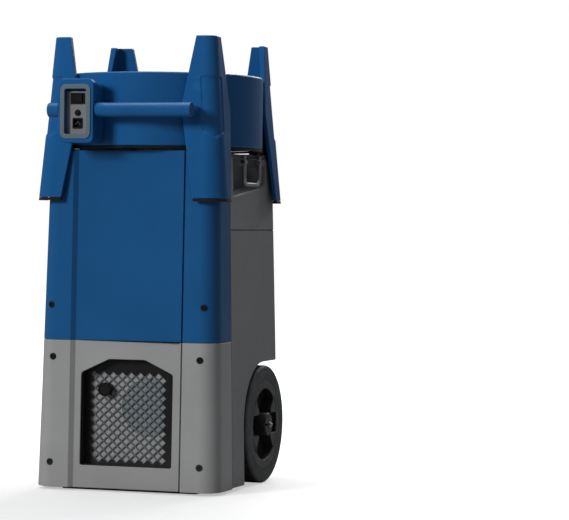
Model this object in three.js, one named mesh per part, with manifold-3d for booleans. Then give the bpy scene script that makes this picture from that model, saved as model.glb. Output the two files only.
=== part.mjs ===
// Wheeled tower dehumidifier with a stackable axial fan unit docked on its top.
// Millimetres, +Z up. The front faces -Y and +X is the machine's right as seen from the front.
// Pieces are drawn about the tower's own upright axis. The whole is then moved so that the
// origin lies on the floor below the middle of its overall size.
import * as THREE from "three";
import { mergeVertices } from "three/addons/utils/BufferGeometryUtils.js";
import Module from "manifold-3d";

const wasm = await Module();
wasm.setup();

// ---------------------------------------------------------------- driving dimensions

const GAP = 0.4; // air left between pieces that touch

// Tower envelope at floor level; it narrows towards the top.
const HALF_WIDTH = 205;
const HALF_DEPTH = 208;
const TAPER = 0.0245; // millimetres lost from each half size per millimetre of height
const FRONT_RADIUS = 40;
const REAR_RADIUS = 20;
const PANEL_HALF = 116; // half width of the sunk middle panel
const PILLAR_IN = 125; // inner edge of the front pillars
const PANEL_SINK = 8;
const TOWER_BOTTOM = 8;
const TOWER_TOP = 709;
const DECK_THICK = 9;
const DECK_RIM = { inset: 6, wall: 4, height: 2.6 }; // low wall round the deck
const OUTLET_RADIUS = 132; // air outlet in the deck
const SPLIT_Z = 313; // joint between the lower and the upper front cover
const COVER_WRAP = 100; // how far the front covers reach round the sides
const COVER_THICK = 4;
const HOUSING_THICK = 5;

// Wheels
const WHEEL_RADIUS = 127;
const WHEEL_WIDTH = 44;
const WHEEL_FACE = 203; // outer face, from the middle plane
const WHEEL_Y = 104;
const TYRE_INNER = 96;
const DISH_RADIUS = 77; // recess in the face of the rim
const DISH_DEPTH = 24;
const HUB_RADIUS = 24.5;
const HUB_PROUD = 9;
const WELL_RADIUS = 135;
const WELL_FLOOR = 150; // inner wall of the wheel wells, from the middle plane
const AXLE_RADIUS = 8;
const AXLE_IN = 136;

// Heat exchangers above the blower
const COIL = { half: 122, thick: 46, bottom: 300, top: 640, frontY: -104, rearY: 4 };
const BENDS = { reach: 10, pitch: 68 }; // return bends on the ends of the coils' pipes

// Air inlet in the lower front cover
const INLET = { half: 102, flat: 40, bottom: 53, shoulder: 246, top: 275 };
const GRILLE = { left: -90, right: 80, bottom: 60, top: 250, y: -166, thick: 3, cell: 24, strand: 4.5 };

// Lift handles in the side pockets
const POCKET = { front: -80, back: 130, frontSill: 616, backSill: 641, floor: 142 };
const BAIL = { front: 3, back: 102, bottom: 643, pivot: 691, x: 184, rod: 4.8, bend: 18, eye: 7, pin: 14 };

// Fan unit
const LEG_BOTTOM = 604;
const LEG_TOP = 946;
const LEG_WIDEST = 798;
const LEG_OUT_BOTTOM = 210; // half size over the legs
const LEG_OUT_TOP = 180;
const SHIELD = { top: 862, vee: 746, bottom: 734, half: 25.5, depth: 1.3 }; // sunk field on a leg's corner
const RING_RADIUS = 213;
const RING_WALL = 9;
const RING_BOTTOM = 718;
const RING_TOP = 871;
const SEAL_THICK = 5; // rubber seal under the ring
const FOOT_THICK = 6;
const HORN_TOP = 774;
const FAN_RADIUS = 192;

// Switch box on the fan ring
const BOX = { left: -131, right: -52, bottom: 722, top: 854, face: -264, wall: 12, side: 4 };
const BOX_X = (BOX.left + BOX.right) / 2;
const BOX_Z = 786.5;
const WINDOW = { halfWidth: 24, halfHeight: 46.5, radius: 4 };
const BEZEL = { halfWidth: 33.5, halfHeight: 56, radius: 13 };
const PLATE_FRONT = BOX.face + BOX.wall + GAP;
const PLATE_THICK = 3;

// Carry handle across the front of the fan unit: a blunt-ended bar on two posts
const GRIP = { radius: 15, y: -247, z: 790, endX: 157.5, postX: 143, postRadius: 12, postEnd: -190 };
// Joins the bar's two halves inside the switch box
const TIE = { cheek: 4.6, front: -232.4, back: -224.4, halfHeight: 12 };

// Furthest points in front and behind, which centre the whole on the origin.
const BEZEL_PROUD = 2.5;
const FRONT_REACH = BOX.face - BEZEL_PROUD;
const REAR_REACH = WHEEL_Y + WHEEL_RADIUS;

// ---------------------------------------------------------------- geometry tools

function toSolid(geometry) {
  const g = geometry.clone();
  g.deleteAttribute("normal");
  g.deleteAttribute("uv");
  const merged = mergeVertices(g, 1e-3);
  return new wasm.Manifold(
    new wasm.Mesh({
      numProp: 3,
      vertProperties: merged.attributes.position.array,
      triVerts: new Uint32Array(merged.index.array),
    }),
  );
}

function toGeometry(solid) {
  const mesh = solid.getMesh();
  const geometry = new THREE.BufferGeometry();
  geometry.setAttribute("position", new THREE.BufferAttribute(mesh.vertProperties, 3));
  geometry.setIndex(new THREE.BufferAttribute(mesh.triVerts, 1));
  return geometry;
}

function block(x0, x1, y0, y1, z0, z1) {
  const g = new THREE.BoxGeometry(x1 - x0, y1 - y0, z1 - z0);
  g.translate((x0 + x1) / 2, (y0 + y1) / 2, (z0 + z1) / 2);
  return toSolid(g);
}

// A cylinder or cone from z0 to z1 about a vertical line.
function rodZ(x, y, z0, z1, radius, segments = 24, topRadius = radius) {
  const g = new THREE.CylinderGeometry(topRadius, radius, z1 - z0, segments);
  g.rotateX(Math.PI / 2);
  g.translate(x, y, (z0 + z1) / 2);
  return toSolid(g);
}

function rodX(x0, x1, y, z, radius, segments = 24) {
  const g = new THREE.CylinderGeometry(radius, radius, x1 - x0, segments);
  g.rotateZ(Math.PI / 2);
  g.translate((x0 + x1) / 2, y, z);
  return toSolid(g);
}

function rodY(x, y0, y1, z, radius, segments = 24) {
  const g = new THREE.CylinderGeometry(radius, radius, y1 - y0, segments);
  g.translate(x, (y0 + y1) / 2, z);
  return toSolid(g);
}

// Extrudes an outline drawn in X-Y upwards from z0 to z1.
function prismZ(shape, z0, z1, curveSegments = 8) {
  const g = new THREE.ExtrudeGeometry(shape, { depth: z1 - z0, bevelEnabled: false, curveSegments });
  g.translate(0, 0, z0);
  return g;
}

// Extrudes an outline drawn in X-Z along Y, from y0 back to y1.
function prismY(shape, y0, y1, curveSegments = 8) {
  const g = prismZ(shape, -y1, -y0, curveSegments);
  g.rotateX(Math.PI / 2);
  return toSolid(g);
}

// Extrudes an outline drawn in Y-Z along X, from x0 to x1.
function prismX(shape, x0, x1, curveSegments = 8) {
  const g = prismZ(shape, x0, x1, curveSegments);
  g.applyMatrix4(new THREE.Matrix4().set(0, 0, 1, 0, 1, 0, 0, 0, 0, 1, 0, 0, 0, 0, 0, 1));
  return toSolid(g);
}

function polygon(points) {
  return new THREE.Shape(points.map(([x, y]) => new THREE.Vector2(x, y)));
}

function roundedRect(cx, cy, halfW, halfH, r) {
  const s = new THREE.Shape();
  s.moveTo(cx - halfW + r, cy - halfH);
  s.lineTo(cx + halfW - r, cy - halfH);
  s.absarc(cx + halfW - r, cy - halfH + r, r, -Math.PI / 2, 0);
  s.lineTo(cx + halfW, cy + halfH - r);
  s.absarc(cx + halfW - r, cy + halfH - r, r, 0, Math.PI / 2);
  s.lineTo(cx - halfW + r, cy + halfH);
  s.absarc(cx - halfW + r, cy + halfH - r, r, Math.PI / 2, Math.PI);
  s.lineTo(cx - halfW, cy - halfH + r);
  s.absarc(cx - halfW + r, cy - halfH + r, r, Math.PI, 1.5 * Math.PI);
  return s;
}

// A round bar along a curve.
function tubeAlong(curve, radius, steps, sides = 8) {
  const circle = new THREE.Shape();
  circle.absarc(0, 0, radius, 0, 2 * Math.PI);
  const g = new THREE.ExtrudeGeometry(circle, {
    steps,
    extrudePath: curve,
    bevelEnabled: false,
    curveSegments: sides / 2,
  });
  return toSolid(g);
}

// A path of straight runs whose corners are rounded to the bend radius.
function bentPath(points, bend) {
  const p = points.map((q) => new THREE.Vector3(...q));
  const path = new THREE.CurvePath();
  let from = p[0];
  for (let i = 1; i < p.length - 1; i += 1) {
    const before = p[i].clone().sub(p[i - 1]).setLength(bend);
    const after = p[i + 1].clone().sub(p[i]).setLength(bend);
    const start = p[i].clone().sub(before);
    const end = p[i].clone().add(after);
    path.add(new THREE.LineCurve3(from, start));
    path.add(new THREE.QuadraticBezierCurve3(start, p[i], end));
    from = end;
  }
  path.add(new THREE.LineCurve3(from, p[p.length - 1]));
  return path;
}

// A turned piece about a vertical line, from a profile of [radius, z] points.
// The profile either starts and ends on the axis or is closed for a ring.
function lathe(profile, segments = 48, x = 0, y = 0) {
  const points = profile.map(([r, z]) => new THREE.Vector2(r, z));
  if (THREE.ShapeUtils.area(points) < 0) points.reverse();
  if (points[0].x > 0) points.push(points[0].clone());
  const g = new THREE.LatheGeometry(points, segments);
  g.rotateX(Math.PI / 2);
  g.translate(x, y, 0);
  return toSolid(g);
}

// A ring of square section between two radii.
function tubeRing(r0, r1, z0, z1, segments) {
  return lathe([[r0, z0], [r1, z0], [r1, z1], [r0, z1]], segments);
}

function union(solids) {
  return solids.reduce((a, b) => a.add(b));
}

function mirrorX(solid) {
  return solid.mirror([1, 0, 0]);
}

// ---------------------------------------------------------------- materials

const material = (color, roughness, metalness = 0) =>
  new THREE.MeshStandardMaterial({ color, roughness, metalness });
const BLUE = material(0x1f5490, 0.5);
const SILVER = material(0x8e8f90, 0.45);
const GRAPHITE = material(0x7b7c7e, 0.6);
const BLACK = material(0x141414, 0.55);
const RUBBER = material(0x1c1d1e, 0.8);
const GREY = material(0x6c7174, 0.5);
const STEEL = material(0x9a9c9f, 0.35, 1);
const ALUMINIUM = material(0xb9bcbf, 0.4, 1);
const COPPER = material(0xb06a42, 0.35, 1);
const FILTER = material(0x8a8c88, 0.9);
const GLASS = material(0x10181c, 0.1);

const dehumidifier = new THREE.Group();

function place(name, solid, look) {
  const mesh = new THREE.Mesh(toGeometry(solid), look);
  mesh.name = name;
  dehumidifier.add(mesh);
}

// ---------------------------------------------------------------- tower envelope

const halfWidthAt = (z) => HALF_WIDTH - TAPER * z;
const halfDepthAt = (z) => HALF_DEPTH - TAPER * z;

// Plan outline of the tower at floor level, moved inwards by inset.
function towerOutline(inset) {
  const w = HALF_WIDTH - inset;
  const d = HALF_DEPTH - inset;
  const rf = FRONT_RADIUS - inset;
  const rr = Math.max(REAR_RADIUS - inset, 4);
  const stepShift = inset * Math.tan(Math.PI / 8);
  const panel = PANEL_HALF + stepShift;
  const pillar = PILLAR_IN + stepShift;
  const s = new THREE.Shape();
  s.moveTo(-panel, -d + PANEL_SINK);
  s.lineTo(panel, -d + PANEL_SINK);
  s.lineTo(pillar, -d);
  s.lineTo(w - rf, -d);
  s.absarc(w - rf, -d + rf, rf, -Math.PI / 2, 0);
  s.lineTo(w, d - rr);
  s.absarc(w - rr, d - rr, rr, 0, Math.PI / 2);
  s.lineTo(-w + rr, d);
  s.absarc(-w + rr, d - rr, rr, Math.PI / 2, Math.PI);
  s.lineTo(-w, -d + rf);
  s.absarc(-w + rf, -d + rf, rf, Math.PI, 1.5 * Math.PI);
  s.lineTo(-pillar, -d);
  return s;
}

// Narrows a vertical prism as the tower does. The middle panel keeps its width.
function taper(geometry) {
  const p = geometry.attributes.position;
  for (let i = 0; i < p.count; i += 1) {
    const z = p.getZ(i);
    const x = p.getX(i);
    const beyond = Math.max(Math.abs(x) - PILLAR_IN, 0);
    const scaled = (beyond * (halfWidthAt(z) - PILLAR_IN)) / (HALF_WIDTH - PILLAR_IN);
    p.setX(i, Math.sign(x) * (Math.min(Math.abs(x), PILLAR_IN) + scaled));
    p.setY(i, (p.getY(i) * halfDepthAt(z)) / HALF_DEPTH);
  }
  return geometry;
}

function towerSolid(inset, z0, z1) {
  return toSolid(taper(prismZ(towerOutline(inset), z0, z1)));
}

// A point on the outside of a front corner, turned by angle from straight ahead, and the way it faces.
function cornerPoint(side, angle, z) {
  const rx = (FRONT_RADIUS * (halfWidthAt(z) - PILLAR_IN)) / (HALF_WIDTH - PILLAR_IN);
  const ry = (FRONT_RADIUS * halfDepthAt(z)) / HALF_DEPTH;
  const at = new THREE.Vector3(
    side * (halfWidthAt(z) - rx + rx * Math.sin(angle)),
    -(halfDepthAt(z) - ry + ry * Math.cos(angle)),
    z,
  );
  const facing = new THREE.Vector3((side * Math.sin(angle)) / rx, -Math.cos(angle) / ry, 0);
  return { at, facing: facing.normalize() };
}

// ---------------------------------------------------------------- housing, covers and deck

// Room cut for a wheel on the +X side; grow makes it larger by a wall's thickness.
function wheelWell(grow) {
  const r = WELL_RADIUS + grow;
  const s = new THREE.Shape();
  s.moveTo(WHEEL_Y - r, -20);
  s.lineTo(HALF_DEPTH + 60, -20);
  s.lineTo(HALF_DEPTH + 60, WHEEL_RADIUS + r);
  s.lineTo(WHEEL_Y, WHEEL_RADIUS + r);
  s.absarc(WHEEL_Y, WHEEL_RADIUS, r, Math.PI / 2, Math.PI);
  return prismX(s, WELL_FLOOR - grow, HALF_WIDTH + 60, 8);
}

// Pocket for a lift handle on the +X side.
function handlePocket(grow) {
  const s = polygon([
    [POCKET.front - grow, POCKET.frontSill - grow],
    [POCKET.back + grow, POCKET.backSill - grow],
    [POCKET.back + grow, TOWER_TOP + 20],
    [POCKET.front - grow, TOWER_TOP + 20],
  ]);
  return prismX(s, POCKET.floor - grow, HALF_WIDTH + 60);
}

const coverBackY = -HALF_DEPTH + COVER_WRAP;
const coverRegion = block(-300, 300, -300, coverBackY, -50, 900);

// Rear control panel and power inlet
const REAR_ZONE = 150; // cuts for the rear pieces start here
const PANEL = { y: halfDepthAt(560) - 3, half: 60, z0: 502, z1: 618, thick: 6 };
const SCREEN = { half: 34, z0: 560, z1: 602 };
const BUTTONS = [["down_button", -32], ["power_button", 0], ["up_button", 32]];
const BUTTON_Z = 524;
const POWER = { half: 30, z0: 450, z1: 480 };
const INLET_CASE = 22; // half width of the power inlet's case

const bothSides = (solid) => solid.add(mirrorX(solid));
const wellsAndPockets = (grow) => bothSides(wheelWell(grow).add(handlePocket(grow)));

function mainHousing() {
  const top = TOWER_TOP - DECK_THICK - GAP;
  const wall = HOUSING_THICK;
  const outer = towerSolid(0, TOWER_BOTTOM, top).subtract(wellsAndPockets(0));
  const inner = towerSolid(wall, TOWER_BOTTOM - 20, top + 20).subtract(wellsAndPockets(wall));
  const frontGone = block(-300, 300, -300, coverBackY + GAP, -50, 900);
  const axleHole = rodX(-300, 300, WHEEL_Y, WHEEL_RADIUS, AXLE_RADIUS + 0.5, 16);
  const { half, z0, z1 } = PANEL;
  const panelHole = block(-half - 2, half + 2, REAR_ZONE, 260, z0 - 2, z1 + 2);
  const socketHole = block(-INLET_CASE - 2, INLET_CASE + 2, REAR_ZONE, 260, POWER.z0 + 2, POWER.z1 - 2);
  return outer
    .subtract(inner)
    .subtract(frontGone)
    .subtract(axleHole)
    .subtract(panelHole)
    .subtract(socketHole)
    .add(bothSides(handleEars()));
}

function frontCover(z0, z1) {
  const shell = towerSolid(0, z0, z1).subtract(towerSolid(COVER_THICK, z0 - 20, z1 + 20));
  return shell.intersect(coverRegion);
}

const screwSpots = [
  ["upper_left_screw", -1, 0.24, 386],
  ["upper_right_screw", 1, 0.24, 386],
  ["middle_left_screw", -1, 0.04, 278],
  ["middle_right_screw", 1, 0.04, 278],
  ["bottom_left_screw", -1, 0.04, 58],
  ["bottom_right_screw", 1, 0.04, 58],
];
const SCREW = { headRadius: 6, headThick: 2, shankRadius: 2.5, length: 15, sink: 1.5 };

// A disc-headed screw along -Y with its head's face at the origin, turned and moved to a corner.
function atCorner(solid, side, angle, z) {
  const { at, facing } = cornerPoint(side, angle, z);
  const turn = Math.atan2(facing.x, -facing.y);
  return solid.rotate([0, 0, THREE.MathUtils.radToDeg(turn)]).translate([at.x, at.y, at.z]);
}

function screw() {
  const head = rodY(0, SCREW.sink - SCREW.headThick, SCREW.sink, 0, SCREW.headRadius, 12);
  const shank = rodY(0, SCREW.sink - 0.5, SCREW.length, 0, SCREW.shankRadius, 6);
  const slot = rodY(0, SCREW.sink - SCREW.headThick - 1, SCREW.sink - 0.9, 0, 2.2, 6);
  return head.add(shank).subtract(slot);
}

function screwRoom(clearance) {
  const head = rodY(0, -5, SCREW.sink + 0.4, 0, SCREW.headRadius + clearance, 12);
  return head.add(rodY(0, 0, SCREW.length + 2, 0, SCREW.shankRadius + clearance, 6));
}

function withScrewHoles(solid) {
  return screwSpots.reduce(
    (s, [, side, angle, z]) => s.subtract(atCorner(screwRoom(GAP), side, angle, z)),
    solid,
  );
}

function inletShape(grow) {
  const half = INLET.half + grow;
  return polygon([
    [-half, INLET.bottom - grow],
    [half, INLET.bottom - grow],
    [half, INLET.shoulder],
    [INLET.flat, INLET.top + grow],
    [-INLET.flat, INLET.top + grow],
    [-half, INLET.shoulder],
  ]);
}

// Upright behind a front corner that the covers are screwed to.
function frameRail() {
  const rail = block(146, 172, -180, -150, 42, 690);
  const hollow = block(150, 168, -176, -140, 30, 700);
  return rail.subtract(hollow);
}

function railForScrews() {
  const pads = screwSpots
    .filter(([, side]) => side > 0)
    .map(([, side, angle, z]) => {
      const pad = rodY(0, COVER_THICK + 1, 34, 0, 7, 8);
      return atCorner(pad, side, angle, z);
    });
  return withScrewHoles(union([frameRail(), ...pads])).subtract(towerRimOutside());
}

// Everything outside the inner face of the front covers, with a working gap.
function towerRimOutside() {
  const all = block(-300, 300, -300, 300, -50, 900);
  return all.subtract(towerSolid(COVER_THICK + 0.8, -50, 900));
}

function topDeck() {
  const z0 = TOWER_TOP - DECK_THICK;
  const plate = towerSolid(COVER_THICK + GAP, z0, TOWER_TOP).subtract(bothSides(handlePocket(0)));
  const opening = rodZ(0, 0, z0 - 5, TOWER_TOP + 5, OUTLET_RADIUS, 28);
  const reach = OUTLET_RADIUS + 2;
  const bar = block(-reach, reach, -4, 4, z0 + 1, TOWER_TOP - 1);
  const bars = [0, 60, 120].map((turn) => bar.rotate([0, 0, turn]));
  const hoop = tubeRing(66, 74, z0 + 1, TOWER_TOP - 1, 20);
  const horns = [0, 90, 180, 270].map((turn) => horn().rotate([0, 0, turn]));
  return union([plate.subtract(opening), deckRim(), hoop, ...bars, ...horns]);
}

function deckRim() {
  const { inset, wall, height } = DECK_RIM;
  const from = COVER_THICK + GAP + inset;
  const outer = towerSolid(from, TOWER_TOP - 1, TOWER_TOP + height);
  const inner = towerSolid(from + wall, TOWER_TOP - 5, TOWER_TOP + height + 5);
  return outer.subtract(inner).subtract(bothSides(handlePocket(0)));
}

const CORNER_STEPS = 5; // facets round a leg's corner

// Corner outline like a rounded L: outer half size, wing length, wall and corner radius.
function cornerOutline(out, wing, wall, radius) {
  const s = new THREE.Shape();
  const c = out - radius;
  const inner = Math.max(radius - wall, 1);
  s.moveTo(out - wing, out);
  s.lineTo(out - wing, out - wall);
  s.absarc(out - wall - inner, out - wall - inner, inner, Math.PI / 2, 0, true);
  s.lineTo(out - wall, out - wing);
  s.lineTo(out, out - wing);
  s.absarc(c, c, radius, 0, Math.PI / 2);
  return s;
}

// A corner piece lofted through sections given as [z, out, wing, wall, radius].
function cornerLoft(sections) {
  const n = sections.length - 1;
  const rings = sections.map(([, out, wing, wall, radius]) =>
    cornerOutline(out, wing, wall, radius).extractPoints(CORNER_STEPS).shape,
  );
  const g = new THREE.ExtrudeGeometry(new THREE.Shape(rings[0]), {
    depth: n,
    steps: n,
    bevelEnabled: false,
    curveSegments: CORNER_STEPS,
  });
  const p = g.attributes.position;
  for (let i = 0; i < p.count; i += 1) {
    const level = Math.round(p.getZ(i));
    const from = new THREE.Vector2(p.getX(i), p.getY(i));
    const distances = rings[0].map((q) => q.distanceTo(from));
    const k = distances.indexOf(Math.min(...distances));
    p.setXYZ(i, rings[level][k].x, rings[level][k].y, sections[level][0]);
  }
  return toSolid(g);
}

// Stacking horn that stands inside a leg of the fan unit.
function horn() {
  return cornerLoft([
    [TOWER_TOP - 5, 178, 40, 12, 30],
    [HORN_TOP, 176, 36, 12, 28],
  ]);
}

function inletFrame() {
  const flangeY = -halfDepthAt(160) + PANEL_SINK + COVER_THICK + 3;
  const flange = prismY(inletShape(6), flangeY, flangeY + 3);
  const tunnel = prismY(inletShape(3), flangeY + 2, GRILLE.y + GRILLE.thick + 4);
  const bore = prismY(inletShape(0), flangeY - 5, GRILLE.y - GAP);
  const { left, right, bottom, top, y, thick } = GRILLE;
  const seatRoom = block(left - 5, right + 5, y - GAP - 0.1, y + thick + GAP, bottom - 5, top + 5);
  const view = block(left, right, -300, -100, bottom, top);
  return flange.add(tunnel).subtract(bore).subtract(seatRoom).subtract(view);
}

// A flat grille of crossed strands at 45 degrees with a rim round it.
function inletGrille() {
  const { left, right, bottom, top, y, thick, cell, strand } = GRILLE;
  const rim = 4.5;
  const sheet = block(left - rim, right + rim, y, y + thick, bottom - rim, top + rim);
  const halfHole = cell / 2 - strand / Math.SQRT2;
  const columns = Math.floor((right - left) / cell);
  const rows = Math.floor((top - bottom) / cell);
  const x0 = (left + right) / 2 - ((columns - 1) * cell) / 2;
  const z0 = (bottom + top) / 2 - ((rows - 1) * cell) / 2;
  const diamond = polygon([[halfHole, 0], [0, halfHole], [-halfHole, 0], [0, -halfHole]]);
  const hole = prismY(diamond, y - 1, y + thick + 1);
  const holes = [];
  for (let i = 0; i < columns; i += 1) {
    for (let j = 0; j < rows; j += 1) {
      holes.push(hole.translate([x0 + i * cell, 0, z0 + j * cell]));
      const inside = i < columns - 1 && j < rows - 1;
      if (inside) holes.push(hole.translate([x0 + (i + 0.5) * cell, 0, z0 + (j + 0.5) * cell]));
    }
  }
  return sheet.subtract(union(holes));
}

function basePan() {
  const plan = towerSolid(HOUSING_THICK + 1, TOWER_BOTTOM, 40);
  const hollow = towerSolid(HOUSING_THICK + 5, TOWER_BOTTOM + 4, 60);
  const wells = bothSides(wheelWell(HOUSING_THICK + 1));
  const wellsIn = bothSides(wheelWell(HOUSING_THICK + 5));
  return plan.subtract(wells).subtract(hollow.subtract(wellsIn));
}

function frontSkid() {
  const half = 150;
  return block(-half, half, -176, -146, 0, TOWER_BOTTOM - GAP);
}

const DRAIN = { x: -55, z: 211, radius: 14, front: -184, sink: 2 };

// Round port in front of the grille with a shallow sunk face.
function drainPort() {
  const { x, z, radius, front, sink } = DRAIN;
  const plug = rodY(x, front, GRILLE.y - GAP - 0.2, z, radius, 24);
  return plug.subtract(rodY(x, front - 5, front + sink, z, radius - 3, 18));
}

function airFilter() {
  const { left, right, bottom, top, y } = GRILLE;
  return block(left - 4, right + 4, y + 8, y + 20, bottom - 4, top + 4);
}

// ---------------------------------------------------------------- refrigeration and air path

// Fin pack of a heat exchanger with the return bends of its pipes on one end.
function coil(y0, y1) {
  const { half, bottom, top } = COIL;
  const { reach, pitch } = BENDS;
  const middle = (y0 + y1) / 2;
  const core = block(-half, half, y0, y1, bottom, top);
  const bends = [];
  for (let z = bottom + pitch / 2; z < top; z += pitch) {
    bends.push(block(half - 1, half + reach, middle - 12, middle + 12, z - 5, z + 5));
  }
  const grooves = [];
  for (let z = bottom + pitch; z < top; z += pitch) {
    grooves.push(block(-half - 1, half + 1, y0 - 1, y0 + 3, z - 2, z + 2));
  }
  return union([core.subtract(union(grooves)), ...bends]);
}

// Tray that carries both coils and catches the water they shed.
const TRAY = { depth: 16, wall: 4, margin: 12, halfInside: 178 };

function dripTray() {
  const { depth, wall, margin, halfInside } = TRAY;
  const z0 = COIL.bottom - depth;
  const front = COIL.frontY - margin;
  const back = COIL.rearY + COIL.thick + margin;
  const across = block(-300, 300, front, back, z0, COIL.bottom - GAP);
  const hollow = block(-halfInside, halfInside, front + wall, back - wall, z0 + wall, COIL.bottom + 10);
  const ribs = [COIL.frontY, COIL.rearY].map((y) =>
    block(-halfInside, halfInside, y + wall, y + 2 * wall, z0 + wall - 1, COIL.bottom - GAP),
  );
  return across.intersect(towerSolid(HOUSING_THICK + GAP, 0, 600)).subtract(hollow).add(union(ribs));
}

const COMPRESSOR = { x: -62, y: 52, radius: 66, z0: 12.4, z1: 236, footHeight: 12, dome: 34 };

function compressor() {
  const { x, y, radius, z0, z1, footHeight, dome } = COMPRESSOR;
  const can = lathe([
    [0, z0 + footHeight],
    [radius, z0 + footHeight],
    [radius, z1 - dome],
    [radius * 0.78, z1 - 10],
    [0, z1],
  ], 28, x, y);
  const foot = rodZ(x, y, z0, z0 + footHeight + 2, radius + 8, 3);
  return can.add(foot);
}

const LINE = { radius: 5, top: 262, reach: 40, bend: 8 };

function refrigerantLine() {
  const { x, y, z1 } = COMPRESSOR;
  const { radius, top, reach, bend } = LINE;
  const shelf = COIL.bottom - TRAY.depth - GAP;
  const points = [[x, y, z1 + GAP], [x, y, top], [x + reach, y, top], [x + reach, y, shelf]];
  return tubeAlong(bentPath(points, bend), radius, 14, 6);
}

// Centrifugal blower behind the inlet: its axis runs along Y from the mouth at y.
const BLOWER = { x: 42, z: 172, y: -128, ring: 63, length: 92, wall: 4, mouth: 14, shaftHole: 24 };
const OUTLET = { half: 30, height: 40, inset: 8 };
const VANES = 8;
const CUP_RADIUS = 26;

function blowerHousing() {
  const { x, z, y, ring, length, wall, mouth, shaftHole } = BLOWER;
  const drumRadius = ring + 4 * wall;
  const drum = rodY(x, y, y + length, z, drumRadius, 20);
  const room = rodY(x, y + wall, y + length - wall, z, drumRadius - wall, 20);
  const lip = rodY(x, y - mouth, y + 2, z, ring + 6, 20);
  const bore = rodY(x, y - 20, y + 10, z, ring + 2, 20);
  const motorHole = rodY(x, y + length - 12, y + length + 8, z, shaftHole, 20);
  const { half, height, inset } = OUTLET;
  const duct = block(x - half, x + half, y + inset, y + length - inset, z + ring, z + ring + height);
  const inner = half - wall;
  const near = y + inset + wall;
  const far = y + length - inset - wall;
  const ductBore = block(x - inner, x + inner, near, far, z, z + ring + height + 20);
  return union([drum.subtract(room), lip, duct]).subtract(bore).subtract(motorHole).subtract(ductBore);
}

function blowerMotor() {
  const { x, z, y, length, shaftHole } = BLOWER;
  const can = rodY(x, y + length + 1, y + length + 28, z, shaftHole + 10, 24);
  return can.add(rodY(x, y + 50, y + length + 2, z, shaftHole - 4, 20));
}

function blowerWheel() {
  const { x, z, y, ring, shaftHole } = BLOWER;
  const frontY = y + 14;
  const backY = y + 78;
  const bore = shaftHole - 2;
  const back = rodY(x, backY - 4, backY, z, ring, 20).subtract(rodY(x, backY - 20, backY + 20, z, bore, 16));
  const front = rodY(x, frontY, frontY + 4, z, ring, 20).subtract(rodY(x, y, y + 30, z, ring - 14, 20));
  const cage = [];
  for (let i = 0; i < VANES; i += 1) {
    const vane = block(ring - 12, ring - 1, frontY + 1, backY - 1, -1.2, 1.2);
    cage.push(vane.rotate([0, (i * 360) / VANES, 0]).translate([x, 0, z]));
  }
  const cup = rodY(x, y + 44, backY, z, CUP_RADIUS, 20).subtract(rodY(x, y + 48, backY + 20, z, bore, 20));
  return union([back, front, cup, ...cage]);
}

const PUMP = { x0: 50, x1: 128, y0: 118, y1: 178, tankTop: 84, headRadius: 22, headTop: 106 };

function condensatePump() {
  const { x0, x1, y0, y1, tankTop, headRadius, headTop } = PUMP;
  const tank = block(x0, x1, y0, y1, TOWER_BOTTOM + 4 + GAP, tankTop);
  const head = rodZ((x0 + x1) / 2, (y0 + y1) / 2, tankTop - 1, headTop, headRadius, 16);
  return tank.add(head);
}

// ---------------------------------------------------------------- wheels, axle and side handles

// Stub axle through the wall of a wheel well, with a flange inside the wall.
function axle() {
  const rod = rodX(AXLE_IN, WHEEL_FACE + 4, WHEEL_Y, WHEEL_RADIUS, AXLE_RADIUS, 16);
  const flangeFace = WELL_FLOOR - HOUSING_THICK - GAP;
  return rod.add(rodX(AXLE_IN, flangeFace, WHEEL_Y, WHEEL_RADIUS, 2 * AXLE_RADIUS, 16));
}

// Turns a ring made about +Z at the origin into one about +X at the wheel's centre.
function onAxle(solid) {
  return solid.rotate([0, 90, 0]).translate([0, WHEEL_Y, WHEEL_RADIUS]);
}

function tyre() {
  const inside = WHEEL_FACE - WHEEL_WIDTH;
  const shoulder = 9;
  return onAxle(lathe([
    [TYRE_INNER, inside],
    [WHEEL_RADIUS - shoulder, inside],
    [WHEEL_RADIUS, inside + shoulder],
    [WHEEL_RADIUS, WHEEL_FACE - shoulder],
    [WHEEL_RADIUS - shoulder, WHEEL_FACE],
    [TYRE_INNER, WHEEL_FACE],
  ], 36));
}

// One of four lugs that reach from the rim's band towards the hub, level with its face.
const LUG = [[22, 80], [22, 38], [28, 38], [58, 60]]; // [up, across] from the wheel's centre
const HUB_FACE = WHEEL_FACE + 2;

function rim() {
  const inside = WHEEL_FACE - WHEEL_WIDTH + 2;
  const face = WHEEL_FACE - 1;
  const bore = AXLE_RADIUS + 0.3;
  const floor = face - DISH_DEPTH;
  const disc = lathe([
    [bore, inside],
    [TYRE_INNER - 1, inside],
    [TYRE_INNER - 1, face],
    [DISH_RADIUS + 1, face],
    [DISH_RADIUS - 1, floor],
    [bore, floor],
  ], 28);
  const hub = tubeRing(bore, HUB_RADIUS, floor - 5, HUB_FACE, 20);
  const lug = toSolid(prismZ(polygon(LUG), floor - 2, face));
  const pair = lug.add(lug.mirror([0, 1, 0]));
  return onAxle(union([disc, hub, pair, pair.mirror([1, 0, 0])]));
}

function hubCap() {
  const face = WHEEL_FACE + HUB_PROUD;
  const back = HUB_FACE + GAP;
  const chamfer = 3;
  const cup = lathe([
    [0, face],
    [HUB_RADIUS - chamfer, face],
    [HUB_RADIUS, face - chamfer],
    [HUB_RADIUS, back],
    [0, back],
  ], 24);
  const axleRoom = rodZ(0, 0, WHEEL_FACE, WHEEL_FACE + 5, AXLE_RADIUS + 1, 16);
  const slot = block(-1.3, 1.3, -HUB_RADIUS - 1, HUB_RADIUS + 1, face - 1.5, face + 1);
  return onAxle(cup.subtract(axleRoom).subtract(slot));
}

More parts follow.
